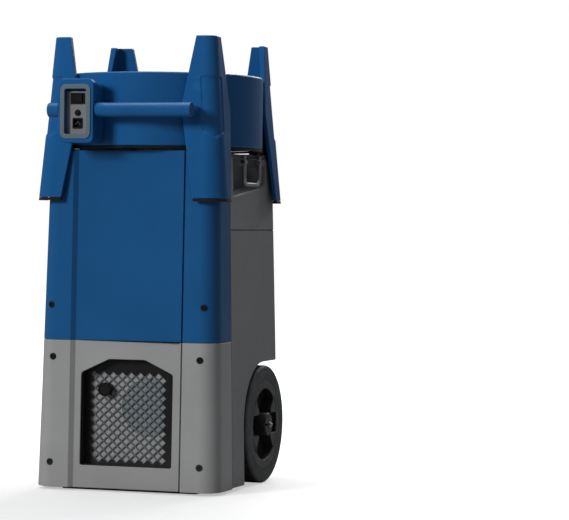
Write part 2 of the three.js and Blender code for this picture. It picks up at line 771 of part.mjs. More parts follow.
function sideHandle() {
  const { front, back, bottom, pivot, x, rod, bend, eye, pin } = BAIL;
  const path = bentPath([
    [x, front, pivot],
    [x, front, bottom],
    [x, back, bottom],
    [x, back, pivot],
  ], bend);
  const loop = tubeAlong(path, rod, 26, 6);
  const eyes = [front, back].map((y) => rodY(x, y - 6, y + 6, pivot, eye, 10));
  const pins = [rodY(x, front - pin, front, pivot, rod, 8), rodY(x, back, back + pin, pivot, rod, 8)];
  return union([loop, ...eyes, ...pins]);
}

// Two ears in the pocket that hold the pins of the side handle.
function handleEars() {
  const { front, back, pivot, x, rod, eye, pin } = BAIL;
  const ears = [front - pin, back + eye + 1].map((y) =>
    block(POCKET.floor - 1, x + eye, y, y + 6, pivot - 9, pivot + 7),
  );
  return union(ears).subtract(rodY(x, front - 40, back + 40, pivot, rod + 0.6, 12));
}

// ---------------------------------------------------------------- rear control panel

function controlPanel() {
  const { y, half, z0, z1, thick } = PANEL;
  const plate = block(-half, half, y - thick, y, z0, z1);
  const screen = block(-SCREEN.half, SCREEN.half, y - 3, y + 5, SCREEN.z0, SCREEN.z1);
  const holes = BUTTONS.map(([, x]) => rodY(x, y - 20, y + 10, BUTTON_Z, 8.5, 14));
  return plate.subtract(screen).subtract(union(holes));
}

function displayLens() {
  const { y } = PANEL;
  const half = SCREEN.half - GAP;
  return block(-half, half, y - 3 + GAP, y + 1, SCREEN.z0 + GAP, SCREEN.z1 - GAP);
}

function panelButton(x) {
  const y = PANEL.y;
  const cap = rodY(x, y - 9, y + 3, BUTTON_Z, 8, 14);
  const flange = rodY(x, y - 12, y - PANEL.thick - 2, BUTTON_Z, 10, 14);
  return cap.add(flange);
}

function powerInlet() {
  const { half, z0, z1 } = POWER;
  const y = halfDepthAt((z0 + z1) / 2);
  const flange = block(-half, half, y + GAP + 0.5, y + 4, z0, z1);
  const body = block(-INLET_CASE, INLET_CASE, y - 26, y + 3, z0 + 4, z1 - 4);
  const mouth = block(-14, 14, y - 16, y + 6, 457, 473);
  const blades = [-8, 0, 8].map((x) => block(x - 1.2, x + 1.2, y - 18, y - 2, 463, 467));
  return union([flange.add(body).subtract(mouth), ...blades]);
}

// ---------------------------------------------------------------- fan unit

const LEG_LEAN = (LEG_OUT_TOP - LEG_OUT_BOTTOM) / (LEG_TOP - LEG_BOTTOM);
const legOutAt = (z) => LEG_OUT_BOTTOM + (z - LEG_BOTTOM) * LEG_LEAN;
const LEG_FOOT_Z = LEG_BOTTOM + FOOT_THICK + GAP;
const legSections = [
  [LEG_FOOT_Z, legOutAt(LEG_FOOT_Z), 63, 8, 42],
  [LEG_WIDEST, legOutAt(LEG_WIDEST), 80, 8.5, 32],
  [LEG_TOP, legOutAt(LEG_TOP), 40, 13, 22],
];

function ring() {
  const inner = RING_RADIUS - RING_WALL;
  const round = 5;
  return lathe([
    [inner, RING_BOTTOM],
    [RING_RADIUS, RING_BOTTOM],
    [RING_RADIUS, RING_TOP - round],
    [RING_RADIUS - round * 0.3, RING_TOP - round * 0.3],
    [RING_RADIUS - round, RING_TOP],
    [inner, RING_TOP],
  ], 48);
}

// Shallow shield-shaped sink wrapped over the rounded corner of a leg.
function shieldSink() {
  const { top, vee, bottom, half, depth } = SHIELD;
  const shape = polygon([[half, top], [half, vee], [0, bottom], [-half, vee], [-half, top]]);
  const beam = prismX(shape, 210, 320).rotate([0, 0, 45]);
  const core = cornerLoft(legSections.map(([z, out, , , r]) => [z, out - depth, 150, 60, r - depth]));
  return beam.subtract(core);
}

// Web that joins a leg to the ring. Its underside rests on the stacking horn below.
function legWeb() {
  const bridge = block(RING_RADIUS - 6, 252, -34, 34, HORN_TOP + GAP, RING_TOP - 8).rotate([0, 0, 45]);
  return bridge.intersect(cornerLoft([
    [HORN_TOP + GAP - 5, legOutAt(HORN_TOP) - 1, 150, 100, 34],
    [RING_TOP, legOutAt(RING_TOP) - 1, 150, 100, 30],
  ]));
}

// Box on the front of the ring with the room and the window for the switches.
function switchBox() {
  const { left, right, bottom, top, face } = BOX;
  const shape = roundedRect(BOX_X, (bottom + top) / 2, (right - left) / 2, (top - bottom) / 2, 10);
  const outside = prismY(shape, face, -150, 4).subtract(rodZ(0, 0, 600, 900, RING_RADIUS - 4, 48));
  const slope = polygon([[face + 12, top + 1], [-140, top - 20], [-140, top + 10], [face + 12, top + 10]]);
  return outside.subtract(prismX(slope, left - 5, right + 5));
}

function switchRoom() {
  const { left, right, bottom, top, face, wall, side } = BOX;
  const room = block(left + side, right - side, face + wall, -195, bottom + side, top - 24);
  const window = prismY(windowShape(), face - 5, face + wall + 5, 3);
  return room.subtract(rodZ(0, 0, 600, 900, RING_RADIUS + 3, 48)).add(window);
}

const windowShape = () => roundedRect(BOX_X, BOX_Z, WINDOW.halfWidth, WINDOW.halfHeight, WINDOW.radius);

// Holes for the grip bar in the box's two side walls and for its posts in the front legs.
function gripRoom() {
  const { radius, y, z, postX, postRadius, postEnd } = GRIP;
  const walls = [[BOX.left - 5, BOX.left + BOX.side], [BOX.right - BOX.side, BOX.right + 5]];
  const holes = walls.map(([x0, x1]) => rodX(x0, x1, y, z, radius + GAP, 26));
  const sockets = [-1, 1].map((side) => rodY(side * postX, y + 10, postEnd + GAP, z, postRadius + GAP, 20));
  return union([...holes, ...sockets]);
}

function fanHousing() {
  const leg = cornerLoft(legSections).add(legWeb()).subtract(shieldSink());
  const legs = [0, 90, 180, 270].map((turn) => leg.rotate([0, 0, turn]));
  return union([ring(), ...legs, switchBox()]).subtract(switchRoom()).subtract(gripRoom());
}

function ringSeal() {
  const inner = RING_RADIUS - RING_WALL + 1;
  return tubeRing(inner, RING_RADIUS - 1, RING_BOTTOM - SEAL_THICK, RING_BOTTOM - GAP, 48);
}

function footPad() {
  const z0 = LEG_BOTTOM;
  const out = legOutAt(LEG_BOTTOM);
  return cornerLoft([
    [z0, out, 63, 8, 42],
    [z0 + FOOT_THICK, out - 0.4, 63, 8, 42],
  ]);
}

// Bar on two posts that plug into the front legs. Inside the switch box it steps back behind the switches.
function carryHandle() {
  const { radius, y, z, endX, postX, postRadius, postEnd } = GRIP;
  const { cheek, front, back, halfHeight } = TIE;
  const inLeft = BOX.left + BOX.side + GAP;
  const inRight = BOX.right - BOX.side - GAP;
  const roomFront = BOX.face + BOX.wall + GAP;
  const level = [z - halfHeight, z + halfHeight];
  const leftBar = rodX(-endX, inLeft + cheek, y, z, radius, 26);
  const rightBar = rodX(inRight - cheek, endX, y, z, radius, 26);
  const posts = [-1, 1].map((side) => rodY(side * postX, y, postEnd, z, postRadius, 20));
  const tie = block(inLeft, inRight, front, back, ...level);
  const leftCheek = block(inLeft, inLeft + cheek, roomFront, back, ...level);
  const rightCheek = block(inRight - cheek, inRight, roomFront, back, ...level);
  const high = z + 2 * radius;
  const wallRoom = block(inLeft - GAP, inRight + GAP, y - radius - 2, roomFront, z - 2 * radius, high);
  return union([leftBar, rightBar, ...posts, tie, leftCheek, rightCheek]).subtract(wallRoom);
}

function switchBezel() {
  const y0 = BOX.face - BEZEL_PROUD;
  const y1 = BOX.face - GAP;
  const outer = prismY(roundedRect(BOX_X, BOX_Z, BEZEL.halfWidth, BEZEL.halfHeight, BEZEL.radius), y0, y1, 5);
  return outer.subtract(prismY(windowShape(), y0 - 5, y1 + 5, 3));
}

const ROCKER = { z: 813.5, halfWidth: 15.5, halfHeight: 11.5, pivotY: PLATE_FRONT + 3 };
const BREAKER = { z: 784, radius: 6 };
const SOCKET = { z: 762.5, halfWidth: 11, halfHeight: 11 };

function switchPlate() {
  const plate = block(BOX_X - 28, BOX_X + 28, PLATE_FRONT, PLATE_FRONT + PLATE_THICK, BOX_Z - 51, BOX_Z + 42);
  const rockerHole = block(BOX_X - 14, BOX_X + 14, -300, -200, ROCKER.z - 10, ROCKER.z + 10);
  const breakerHole = rodY(BOX_X, -300, -200, BREAKER.z, BREAKER.radius + 0.6, 16);
  const socketHole = block(BOX_X - 9.5, BOX_X + 9.5, -300, -200, SOCKET.z - 9.5, SOCKET.z + 9.5);
  return plate.subtract(rockerHole).subtract(breakerHole).subtract(socketHole);
}

// Frame of the rocker switch, with the rocker's axle gap inside.
function rockerFrame() {
  const { z, halfWidth, halfHeight } = ROCKER;
  const y = PLATE_FRONT;
  const left = BOX_X - halfWidth;
  const flange = block(left, left + 2 * halfWidth, y - 2.4, y - GAP, z - halfHeight, z + halfHeight);
  const body = block(BOX_X - 13.5, BOX_X + 13.5, y - 1, y + 13, z - 9.5, z + 9.5);
  const room = block(BOX_X - 12, BOX_X + 12, y - 10, y + 11, z - 8, z + 8);
  const pinHoles = rodZ(BOX_X, ROCKER.pivotY, z - 20, z + 20, 1.9, 12);
  return flange.add(body).subtract(room).subtract(pinHoles);
}

// Rocker with two faces that meet in a shallow V over its pivot.
function rocker() {
  const { z, pivotY } = ROCKER;
  const s = polygon([
    [BOX_X - 11, pivotY + 2],
    [BOX_X - 11, pivotY - 8.2],
    [BOX_X, pivotY - 6.4],
    [BOX_X + 11, pivotY - 8.2],
    [BOX_X + 11, pivotY + 2],
    [BOX_X, pivotY + 4],
  ]);
  return toSolid(prismZ(s, z - 7.5, z + 7.5)).add(rodZ(BOX_X, pivotY, z - 9.2, z + 9.2, 1.4, 10));
}

function breakerButton() {
  const y = PLATE_FRONT;
  const cap = rodY(BOX_X, y - 4, y + 8, BREAKER.z, BREAKER.radius, 16);
  const collar = rodY(BOX_X, y + PLATE_THICK + 3.5, y + 8, BREAKER.z, BREAKER.radius + 2, 16);
  return cap.add(collar);
}

function powerSocket() {
  const { z, halfWidth, halfHeight } = SOCKET;
  const y = PLATE_FRONT;
  const flange = block(BOX_X - halfWidth, BOX_X + halfWidth, y - 2, y - GAP, z - halfHeight, z + halfHeight);
  const body = block(BOX_X - 9, BOX_X + 9, y - 1, y + 22, z - 9, z + 9);
  const mouth = rodY(BOX_X, y - 5, y + 18, z, 8, 16);
  return flange.add(body).subtract(mouth);
}

const GUARD = { thick: 3, halfWire: 1.6, halfSpoke: 2.5, out: RING_RADIUS - RING_WALL - GAP };
const MOTOR = { radius: 58, height: 58, nose: 26, shaft: 7, z0: RING_BOTTOM + 12 + GAP };

function guard(z, hoopRadius) {
  const { thick, halfWire, halfSpoke, out } = GUARD;
  const hoops = [hoopRadius, out - 2].map((r) => tubeRing(r - halfWire, r + halfWire, z, z + thick, 20));
  const reach = out - 2;
  const spoke = block(-reach, reach, -halfSpoke, halfSpoke, z, z + thick);
  return union([...hoops, ...[30, 90, 150].map((turn) => spoke.rotate([0, 0, turn]))]);
}

function fanGuard() {
  const z = RING_TOP - 12;
  return guard(z, 115).add(rodZ(0, 0, z, z + GUARD.thick, 30, 16));
}

// Lower guard whose arms carry the fan motor.
function motorBracket() {
  const z = RING_BOTTOM + 6;
  return guard(z, 130)
    .add(rodZ(0, 0, z, z + 6, MOTOR.radius + 4, 24))
    .subtract(rodZ(0, 0, z - 5, z + 20, 12, 16));
}

function fanMotor() {
  const { radius, height, nose, shaft, z0 } = MOTOR;
  const can = rodZ(0, 0, z0, z0 + height, radius, 28);
  const front = rodZ(0, 0, z0 + height - 1, z0 + height + 8, nose, 20);
  return union([can, front, rodZ(0, 0, z0 + height + 2, z0 + 104, shaft, 12)]);
}

// Hub with twisted blades; the hub's socket runs on the motor's shaft.
const BLADE = { count: 6, root: 44, chord: 92, rootShare: 0.62, thick: 4, rootPitch: 36, tipPitch: 18 };

function fanBlade(middleZ) {
  const { root, chord, rootShare, thick, rootPitch, tipPitch } = BLADE;
  const g = new THREE.BoxGeometry(FAN_RADIUS - root, chord, thick, 3, 1, 1);
  g.translate((FAN_RADIUS + root) / 2, 0, 0);
  const p = g.attributes.position;
  for (let i = 0; i < p.count; i += 1) {
    const share = (p.getX(i) - root) / (FAN_RADIUS - root);
    const pitch = THREE.MathUtils.degToRad(rootPitch + (tipPitch - rootPitch) * share);
    const y = p.getY(i) * (rootShare + (1 - rootShare) * share);
    const z = p.getZ(i);
    p.setY(i, y * Math.cos(pitch) - z * Math.sin(pitch));
    p.setZ(i, y * Math.sin(pitch) + z * Math.cos(pitch));
  }
  g.translate(0, 0, middleZ);
  return toSolid(g);
}

function fanImpeller() {
  const z0 = MOTOR.z0 + 70;
  const height = 44;
  const socket = rodZ(0, 0, z0 - 5, z0 + 36, MOTOR.shaft + 0.4, 12);
  const hub = rodZ(0, 0, z0, z0 + height, 56, 28, 50).subtract(socket);
  const blades = [];
  for (let i = 0; i < BLADE.count; i += 1) {
    blades.push(fanBlade(z0 + height / 2).rotate([0, 0, (i * 360) / BLADE.count]));
  }
  return union([hub, ...blades]);
}

// ---------------------------------------------------------------- assembly

place("main_housing", mainHousing(), GRAPHITE);
place("upper_front_cover", withScrewHoles(frontCover(SPLIT_Z + GAP, TOWER_TOP)), BLUE);
place(
  "lower_front_cover",
  withScrewHoles(frontCover(TOWER_BOTTOM - 2, SPLIT_Z)).subtract(prismY(inletShape(0), -300, -150)),
  SILVER,
);
place("right_frame_rail", railForScrews(), STEEL);
place("left_frame_rail", mirrorX(railForScrews()), STEEL);
place("base_pan", basePan(), GRAPHITE);
place("front_skid", frontSkid(), RUBBER);
place("top_deck", topDeck(), GRAPHITE);
place("inlet_frame", inletFrame(), BLACK);
place("inlet_grille", inletGrille(), BLACK);
place("drain_port", drainPort(), BLACK);
place("air_filter", airFilter(), FILTER);
place("evaporator_coil", coil(COIL.frontY, COIL.frontY + COIL.thick), ALUMINIUM);
place("condenser_coil", coil(COIL.rearY, COIL.rearY + COIL.thick), ALUMINIUM);
place("drip_tray", dripTray(), GREY);
place("compressor", compressor(), BLACK);
place("refrigerant_line", refrigerantLine(), COPPER);
place("condensate_pump", condensatePump(), GREY);
place("blower_housing", blowerHousing(), GREY);
place("blower_motor", blowerMotor(), STEEL);
place("blower_wheel", blowerWheel(), BLACK);
place("control_panel", controlPanel(), BLACK);
place("display_lens", displayLens(), GLASS);
place("power_inlet", powerInlet(), BLACK);
place("right_side_handle", sideHandle(), STEEL);
place("left_side_handle", mirrorX(sideHandle()), STEEL);
for (const [name, side, angle, z] of screwSpots) place(name, atCorner(screw(), side, angle, z), BLACK);
for (const [name, x] of BUTTONS) place(name, panelButton(x), GREY);

for (const [side, flip] of [["right", (s) => s], ["left", mirrorX]]) {
  place(`${side}_axle`, flip(axle()), STEEL);
  place(`${side}_tyre`, flip(tyre()), RUBBER);
  place(`${side}_rim`, flip(rim()), BLACK);
  place(`${side}_hub_cap`, flip(hubCap()), GREY);
}

place("fan_housing", fanHousing(), BLUE);
place("ring_seal", ringSeal(), RUBBER);
const footNames = ["rear_right_foot", "rear_left_foot", "front_left_foot", "front_right_foot"];
footNames.forEach((name, i) => place(name, footPad().rotate([0, 0, i * 90]), RUBBER));
place("carry_handle", carryHandle(), BLUE);
place("switch_bezel", switchBezel(), GREY);
place("switch_plate", switchPlate(), GREY);
place("rocker_frame", rockerFrame(), BLACK);
place("rocker", rocker(), BLACK);
place("breaker_button", breakerButton(), BLACK);
place("power_socket", powerSocket(), BLACK);
place("fan_guard", fanGuard(), BLACK);
place("motor_bracket", motorBracket(), BLACK);
place("fan_motor", fanMotor(), BLACK);
place("fan_impeller", fanImpeller(), BLACK);

dehumidifier.position.y = -(FRONT_REACH + REAR_REACH) / 2;

export default dehumidifier;
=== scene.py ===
import math

import bmesh
import bpy
from mathutils import Matrix, Vector


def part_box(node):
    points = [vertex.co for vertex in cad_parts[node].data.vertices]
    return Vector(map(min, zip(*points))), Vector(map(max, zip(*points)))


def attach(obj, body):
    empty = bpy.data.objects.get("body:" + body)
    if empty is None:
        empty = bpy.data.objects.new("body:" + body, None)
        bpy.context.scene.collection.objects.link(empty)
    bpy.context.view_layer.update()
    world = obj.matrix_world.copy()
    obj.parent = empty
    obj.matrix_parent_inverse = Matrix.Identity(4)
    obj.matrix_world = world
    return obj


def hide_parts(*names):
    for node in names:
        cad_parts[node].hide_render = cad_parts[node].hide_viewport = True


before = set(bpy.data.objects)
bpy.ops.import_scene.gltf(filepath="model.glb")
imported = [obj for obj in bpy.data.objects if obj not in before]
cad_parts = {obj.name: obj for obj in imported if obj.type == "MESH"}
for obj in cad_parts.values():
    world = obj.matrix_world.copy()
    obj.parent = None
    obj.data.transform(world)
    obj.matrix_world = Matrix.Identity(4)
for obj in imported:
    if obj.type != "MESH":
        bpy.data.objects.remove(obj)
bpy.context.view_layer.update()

# Shapes are drawn in millimetres about the tower's upright axis. add_piece() turns them into
# metres and moves them into the row frame, whose Y = 0 lies AXIS_Y in front of that axis.
MM = 0.001
AXIS_Y = sum(corner.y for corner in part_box("fan_impeller")) / 2


def span(node):
    """Lowest and highest corner of a CAD node, in millimetres about the tower's axis."""
    low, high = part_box(node)
    shift = Vector((0, AXIS_Y, 0))
    return (low - shift) / MM, (high - shift) / MM


def middle(node):
    low, high = span(node)
    return (low + high) / 2


# ---- driving dimensions, in mm

UPPER_LOW, UPPER_HIGH = span("upper_front_cover")
LOWER_LOW, LOWER_HIGH = span("lower_front_cover")
HOUSING_BOTTOM = span("main_housing")[0].z
TAPER = 0.0245  # each half size shrinks by this share of the height
HALF_WIDTH = LOWER_HIGH.x + TAPER * LOWER_LOW.z
HALF_DEPTH = -LOWER_LOW.y + TAPER * LOWER_LOW.z
COVER_BACK = UPPER_HIGH.y
COVER_THICK = 4
FRONT_RADIUS = 40
REAR_RADIUS = 20
PILLAR_IN = 125  # where the front panel steps forward into the corner pillars
PANEL_SINK = 8
STEP_WIDTH = 3
SLOPE_WIDTH = 9
LATTICE = {"x": 10.1, "z": 9.2, "half_strand": 1.5}
SHARP = math.radians(35)  # edges steeper than this are rounded
GROOVE_WIDTH = 3.4
GROOVE_DEPTH = 5
SEAM_Z = 546
HOUSING_THICK = 5
HOUSING_TOP = UPPER_HIGH.z - 9.4
WHEEL = middle("right_tyre")
WHEEL_RADIUS = (span("right_tyre")[1].z - span("right_tyre")[0].z) / 2
WHEEL_FACE = span("right_tyre")[1].x
WHEEL_INSIDE = span("right_tyre")[0].x
WELL_RADIUS = 135
WELL_FLOOR = 150
POCKET = {"front": -80, "back": 130, "front_sill": 616, "back_sill": 641, "floor": 142}
RING_RADIUS = 213
RING_INNER = 204
RING_BOTTOM = 718
RING_TOP = 871
LEG_BOTTOM = span("front_left_foot")[0].z
FOOT_TOP = span("front_left_foot")[1].z
LEG_TOP = span("fan_housing")[1].z
LEG_WIDEST = 798
LEG_OUT_BOTTOM = -span("front_left_foot")[0].x
LEG_OUT_TOP = 180
HORN_TOP = span("top_deck")[1].z
BEZEL_LOW, BEZEL_HIGH = span("switch_bezel")
BOX_X = (BEZEL_LOW.x + BEZEL_HIGH.x) / 2
BOX_FACE = span("fan_housing")[0].y
BOX_LEFT, BOX_RIGHT = BOX_X - 39.5, BOX_X + 39.5
BOX_BOTTOM, BOX_TOP = 722, 854
BOX_WALL = 12
BOX_SIDE = 4
GRIP_RADIUS = 15
POST = {"x": 143, "radius": 12, "end": -192.5}
TIE = {"cheek": 4.6, "front": -232.4, "back": -224.4, "half": 12}
SHIELD = {"top": 862, "tip": 734, "half": 29, "slope": 0.42, "depth": 2.1, "edge": 2.2}
INLET = {"half": 102, "bottom": 53, "shoulder": 246, "top": 275, "flat": 40}
PORT = {"x": 38, "z": 174.5, "radius": 60}
COLLAR = {"inner": 196, "outer": 200.5, "height": 7}
OUTLET_RADIUS = 132
EAR_THICK = 6
EAR_OUT = 7
HANDLE_PIVOT_DROP = 7
HANDLE_RADIUS = 4.8
TYRE_BORE = 96.4
TYRE_SHOULDER = 7
DISH_RADIUS = 77
DISH_DEPTH = 24
LUG = [(22, 82), (22, 38), (28, 37), (60, 62)]
HUB_RADIUS = 24.5
NUT_RADIUS = 6.4
GUARD_WIRE = 1.7
GUARD_SPOKES = 12


# ---- shape tools

def arc(cx, cy, radius, start, end, steps):
    """Points on an arc, angles in degrees."""
    angles = [math.radians(start + (end - start) * i / steps) for i in range(steps + 1)]
    return [(cx + radius * math.cos(a), cy + radius * math.sin(a)) for a in angles]


def rounded_rect(cx, cy, half_w, half_h, radius, steps=8):
    dx, dy = half_w - radius, half_h - radius
    corners = [(dx, dy, 0), (-dx, dy, 90), (-dx, -dy, 180), (dx, -dy, 270)]
    points = []
    for x, y, turn in corners:
        points += arc(cx + x, cy + y, radius, turn, turn + 90, steps)
    return points


def filleted(points, radius, steps=4, closed=False):
    """The polyline with each corner rounded, in two or three dimensions."""
    p = [Vector(q) for q in points]
    out = []
    for i, corner in enumerate(p):
        at_end = i in (0, len(p) - 1)
        if at_end and not closed:
            out.append(corner)
            continue
        before = p[i - 1] - corner
        after = p[(i + 1) % len(p)] - corner
        reach = min(radius, before.length / 2.01, after.length / 2.01)
        a = corner + before.normalized() * reach
        b = corner + after.normalized() * reach
        for k in range(steps + 1):
            t = k / steps
            out.append(a * (1 - t) ** 2 + corner * 2 * t * (1 - t) + b * t * t)
    return out


def loft(rings, caps=True):
    """A skin through rings of equally many points."""
    bm = bmesh.new()
    rows = [[bm.verts.new(p) for p in ring] for ring in rings]
    count = len(rows[0])
    for low, high in zip(rows, rows[1:]):
        for i in range(count):
            j = (i + 1) % count
            bm.faces.new((low[i], low[j], high[j], high[i]))
    if caps:
        bm.faces.new(list(reversed(rows[0])))
        bm.faces.new(rows[-1])
    bmesh.ops.recalc_face_normals(bm, faces=bm.faces)
    return bm


def prism_z(points, z0, z1):
    return loft([[(x, y, z) for x, y in points] for z in (z0, z1)])


def prism_y(points, y0, y1):
    """An outline drawn in X-Z, extruded along Y."""
    return loft([[(x, y, z) for x, z in points] for y in (y0, y1)])


def prism_x(points, x0, x1):
    """An outline drawn in Y-Z, extruded along X."""
    return loft([[(x, y, z) for y, z in points] for x in (x0, x1)])


def block(x0, x1, y0, y1, z0, z1):
    return prism_z([(x0, y0), (x1, y0), (x1, y1), (x0, y1)], z0, z1)


def lathe(profile, steps=64, radius_at=None):
    """A turned shape about Z. The profile of (radius, z) ends on the axis or closes on itself."""
    bm = bmesh.new()
    on_axis = profile[0][0] == 0 and profile[-1][0] == 0
    columns = []
    for i in range(steps):
        a = 2 * math.pi * i / steps
        scale = radius_at(a) if radius_at else (lambda r, z: r)
        column = []
        for r, z in profile:
            if r == 0:
                column.append(None)
                continue
            rr = scale(r, z)
            column.append(bm.verts.new((rr * math.cos(a), rr * math.sin(a), z)))
        columns.append(column)
    poles = {k: bm.verts.new((0, 0, z)) for k, (r, z) in enumerate(profile) if r == 0}
    last = len(profile) - (1 if on_axis else 0)
    for i in range(steps):
        here, there = columns[i], columns[(i + 1) % steps]
        for k in range(last):
            n = (k + 1) % len(profile)
            corners = (here[k] or poles[k], there[k] or poles[k],
                       there[n] or poles.get(n), here[n] or poles.get(n))
            unique = list(dict.fromkeys(corners))
            if len(unique) > 2:
                bm.faces.new(unique)
    bmesh.ops.recalc_face_normals(bm, faces=bm.faces)
    return bm


def tube(inner, outer, z0, z1, steps=64):
    """A turned ring, or a disc where inner is 0, between two heights."""
    return lathe([(inner, z0), (outer, z0), (outer, z1), (inner, z1)], steps)


def sweep(path, radius, sides=16, bend=0, bend_steps=8, closed=False):
    """A round bar along a path of points whose corners are rounded."""
    points = filleted(path, bend, bend_steps, closed) if bend else [Vector(p) for p in path]
    count = len(points)
    rings = []
    normal = None
    for i, p in enumerate(points):
        nxt = points[(i + 1) % count] if closed or i < count - 1 else p
        prv = points[i - 1] if closed or i > 0 else p
        tangent = (nxt - prv).normalized()
        if normal is None:
            normal = tangent.orthogonal().normalized()
        normal = (normal - tangent * normal.dot(tangent)).normalized()
        side = tangent.cross(normal)
        turns = [2 * math.pi * k / sides for k in range(sides)]
        rings.append([p + (normal * math.cos(a) + side * math.sin(a)) * radius for a in turns])
    if closed:
        rings.append(rings[0])
    bm = loft(rings, caps=not closed)
    if closed:
        bmesh.ops.remove_doubles(bm, verts=bm.verts, dist=1e-4)
    return bm


def moved(bm, shift=(0, 0, 0), turn=(0, 0, 0)):
    """Turns by degrees about X, Y and Z in that order, then shifts."""
    for axis, angle in zip("XYZ", turn):
        if angle:
            bmesh.ops.rotate(bm, verts=bm.verts, matrix=Matrix.Rotation(math.radians(angle), 3, axis))
    bmesh.ops.translate(bm, verts=bm.verts, vec=Vector(shift))
    return bm


def mirrored(bm):
    """The same shape on the other side of the X = 0 plane."""
    copy = bm.copy()
    bmesh.ops.scale(copy, verts=copy.verts, vec=(-1, 1, 1))
    bmesh.ops.reverse_faces(copy, faces=copy.faces)
    return copy


def together(*shapes):
    """Several closed shapes in one mesh."""
    out = bmesh.new()
    for bm in shapes:
        mesh = bpy.data.meshes.new("part")
        bm.to_mesh(mesh)
        out.from_mesh(mesh)
        bpy.data.meshes.remove(mesh)
    return out


def around(bm, count, start=0):
    """Copies of a shape spread evenly about the Z axis, the first one turned by start degrees."""
    return [moved(bm.copy(), turn=(0, 0, start + 360 * i / count)) for i in range(count)]


def temporary(bm):
    mesh = bpy.data.meshes.new("temporary")
    bm.to_mesh(mesh)
    obj = bpy.data.objects.new("temporary", mesh)
    bpy.context.scene.collection.objects.link(obj)
    return obj


def cut(bm, *tools):
    """The shape with each tool taken away from it."""
    base = temporary(bm)
    cutters = [temporary(t) for t in tools]
    for cutter in cutters:
        modifier = base.modifiers.new("cut", "BOOLEAN")
        modifier.operation = "DIFFERENCE"
        modifier.solver = "EXACT"
        modifier.object = cutter
    bpy.context.view_layer.update()
    evaluated = base.evaluated_get(bpy.context.evaluated_depsgraph_get())
    out = bmesh.new()
    out.from_mesh(evaluated.to_mesh())
    for obj in [base, *cutters]:
        bpy.data.objects.remove(obj)
    bmesh.ops.remove_doubles(out, verts=out.verts, dist=0.005)
    bmesh.ops.dissolve_degenerate(out, edges=out.edges, dist=0.005)
    return out


# ---- pieces

def add_piece(name, bm, coat, body, node=None, bevel=1.0, segments=3, other=None):
    """A finished piece: smooth where shallow, its sharp edges rounded by bevel millimetres.

    A coat is a material with its slot's name, and other is the coat of the faces set to index 1.
    """
    mesh = bpy.data.meshes.new(name)
    bm.to_mesh(mesh)
    mesh.transform(Matrix.Translation((0, AXIS_Y, 0)) @ Matrix.Scale(MM, 4))
    mesh.shade_smooth()
    mesh.set_sharp_from_angle(angle=SHARP)
    mesh.materials.append(coat[0])
    if other:
        mesh.materials.append(other[0])
    obj = bpy.data.objects.new(name, mesh)
    bpy.context.scene.collection.objects.link(obj)
    if bevel:
        round_edges(obj, bevel, segments)
    flatten = obj.modifiers.new("flat_faces_shade_flat", "WEIGHTED_NORMAL")
    flatten.keep_sharp = True
    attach(obj, body)
    if node:
        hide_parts(node)


def round_edges(obj, width, segments):
    modifier = obj.modifiers.new("rounded_edges", "BEVEL")
    modifier.width = width * MM
    modifier.segments = segments
    modifier.limit_method = "ANGLE"
    modifier.angle_limit = SHARP
    modifier.use_clamp_overlap = False
    modifier.harden_normals = True


def refine(body, node, name, coat, bevel=0.6):
    """The CAD node's own shape as a clean piece with rounded edges."""
    bm = bmesh.new()
    bm.from_mesh(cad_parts[node].data)
    bmesh.ops.remove_doubles(bm, verts=bm.verts, dist=1e-6)
    bmesh.ops.dissolve_limit(bm, angle_limit=math.radians(1), verts=bm.verts, edges=bm.edges)
    bmesh.ops.scale(bm, verts=bm.verts, vec=(1 / MM,) * 3)
    bmesh.ops.translate(bm, verts=bm.verts, vec=(0, -AXIS_Y / MM, 0))
    add_piece(name, bm, coat, body, node, bevel, 2)


def add_all(body, *rows):
    """Adds pieces that ride one body. A row is a name, a shape, a coat and what add_piece takes next."""
    for name, bm, coat, *rest in rows:
        add_piece(name, bm, coat, body, *rest)


def refine_all(body, *rows):
    for row in rows:
        refine(body, *row)


# ---- materials

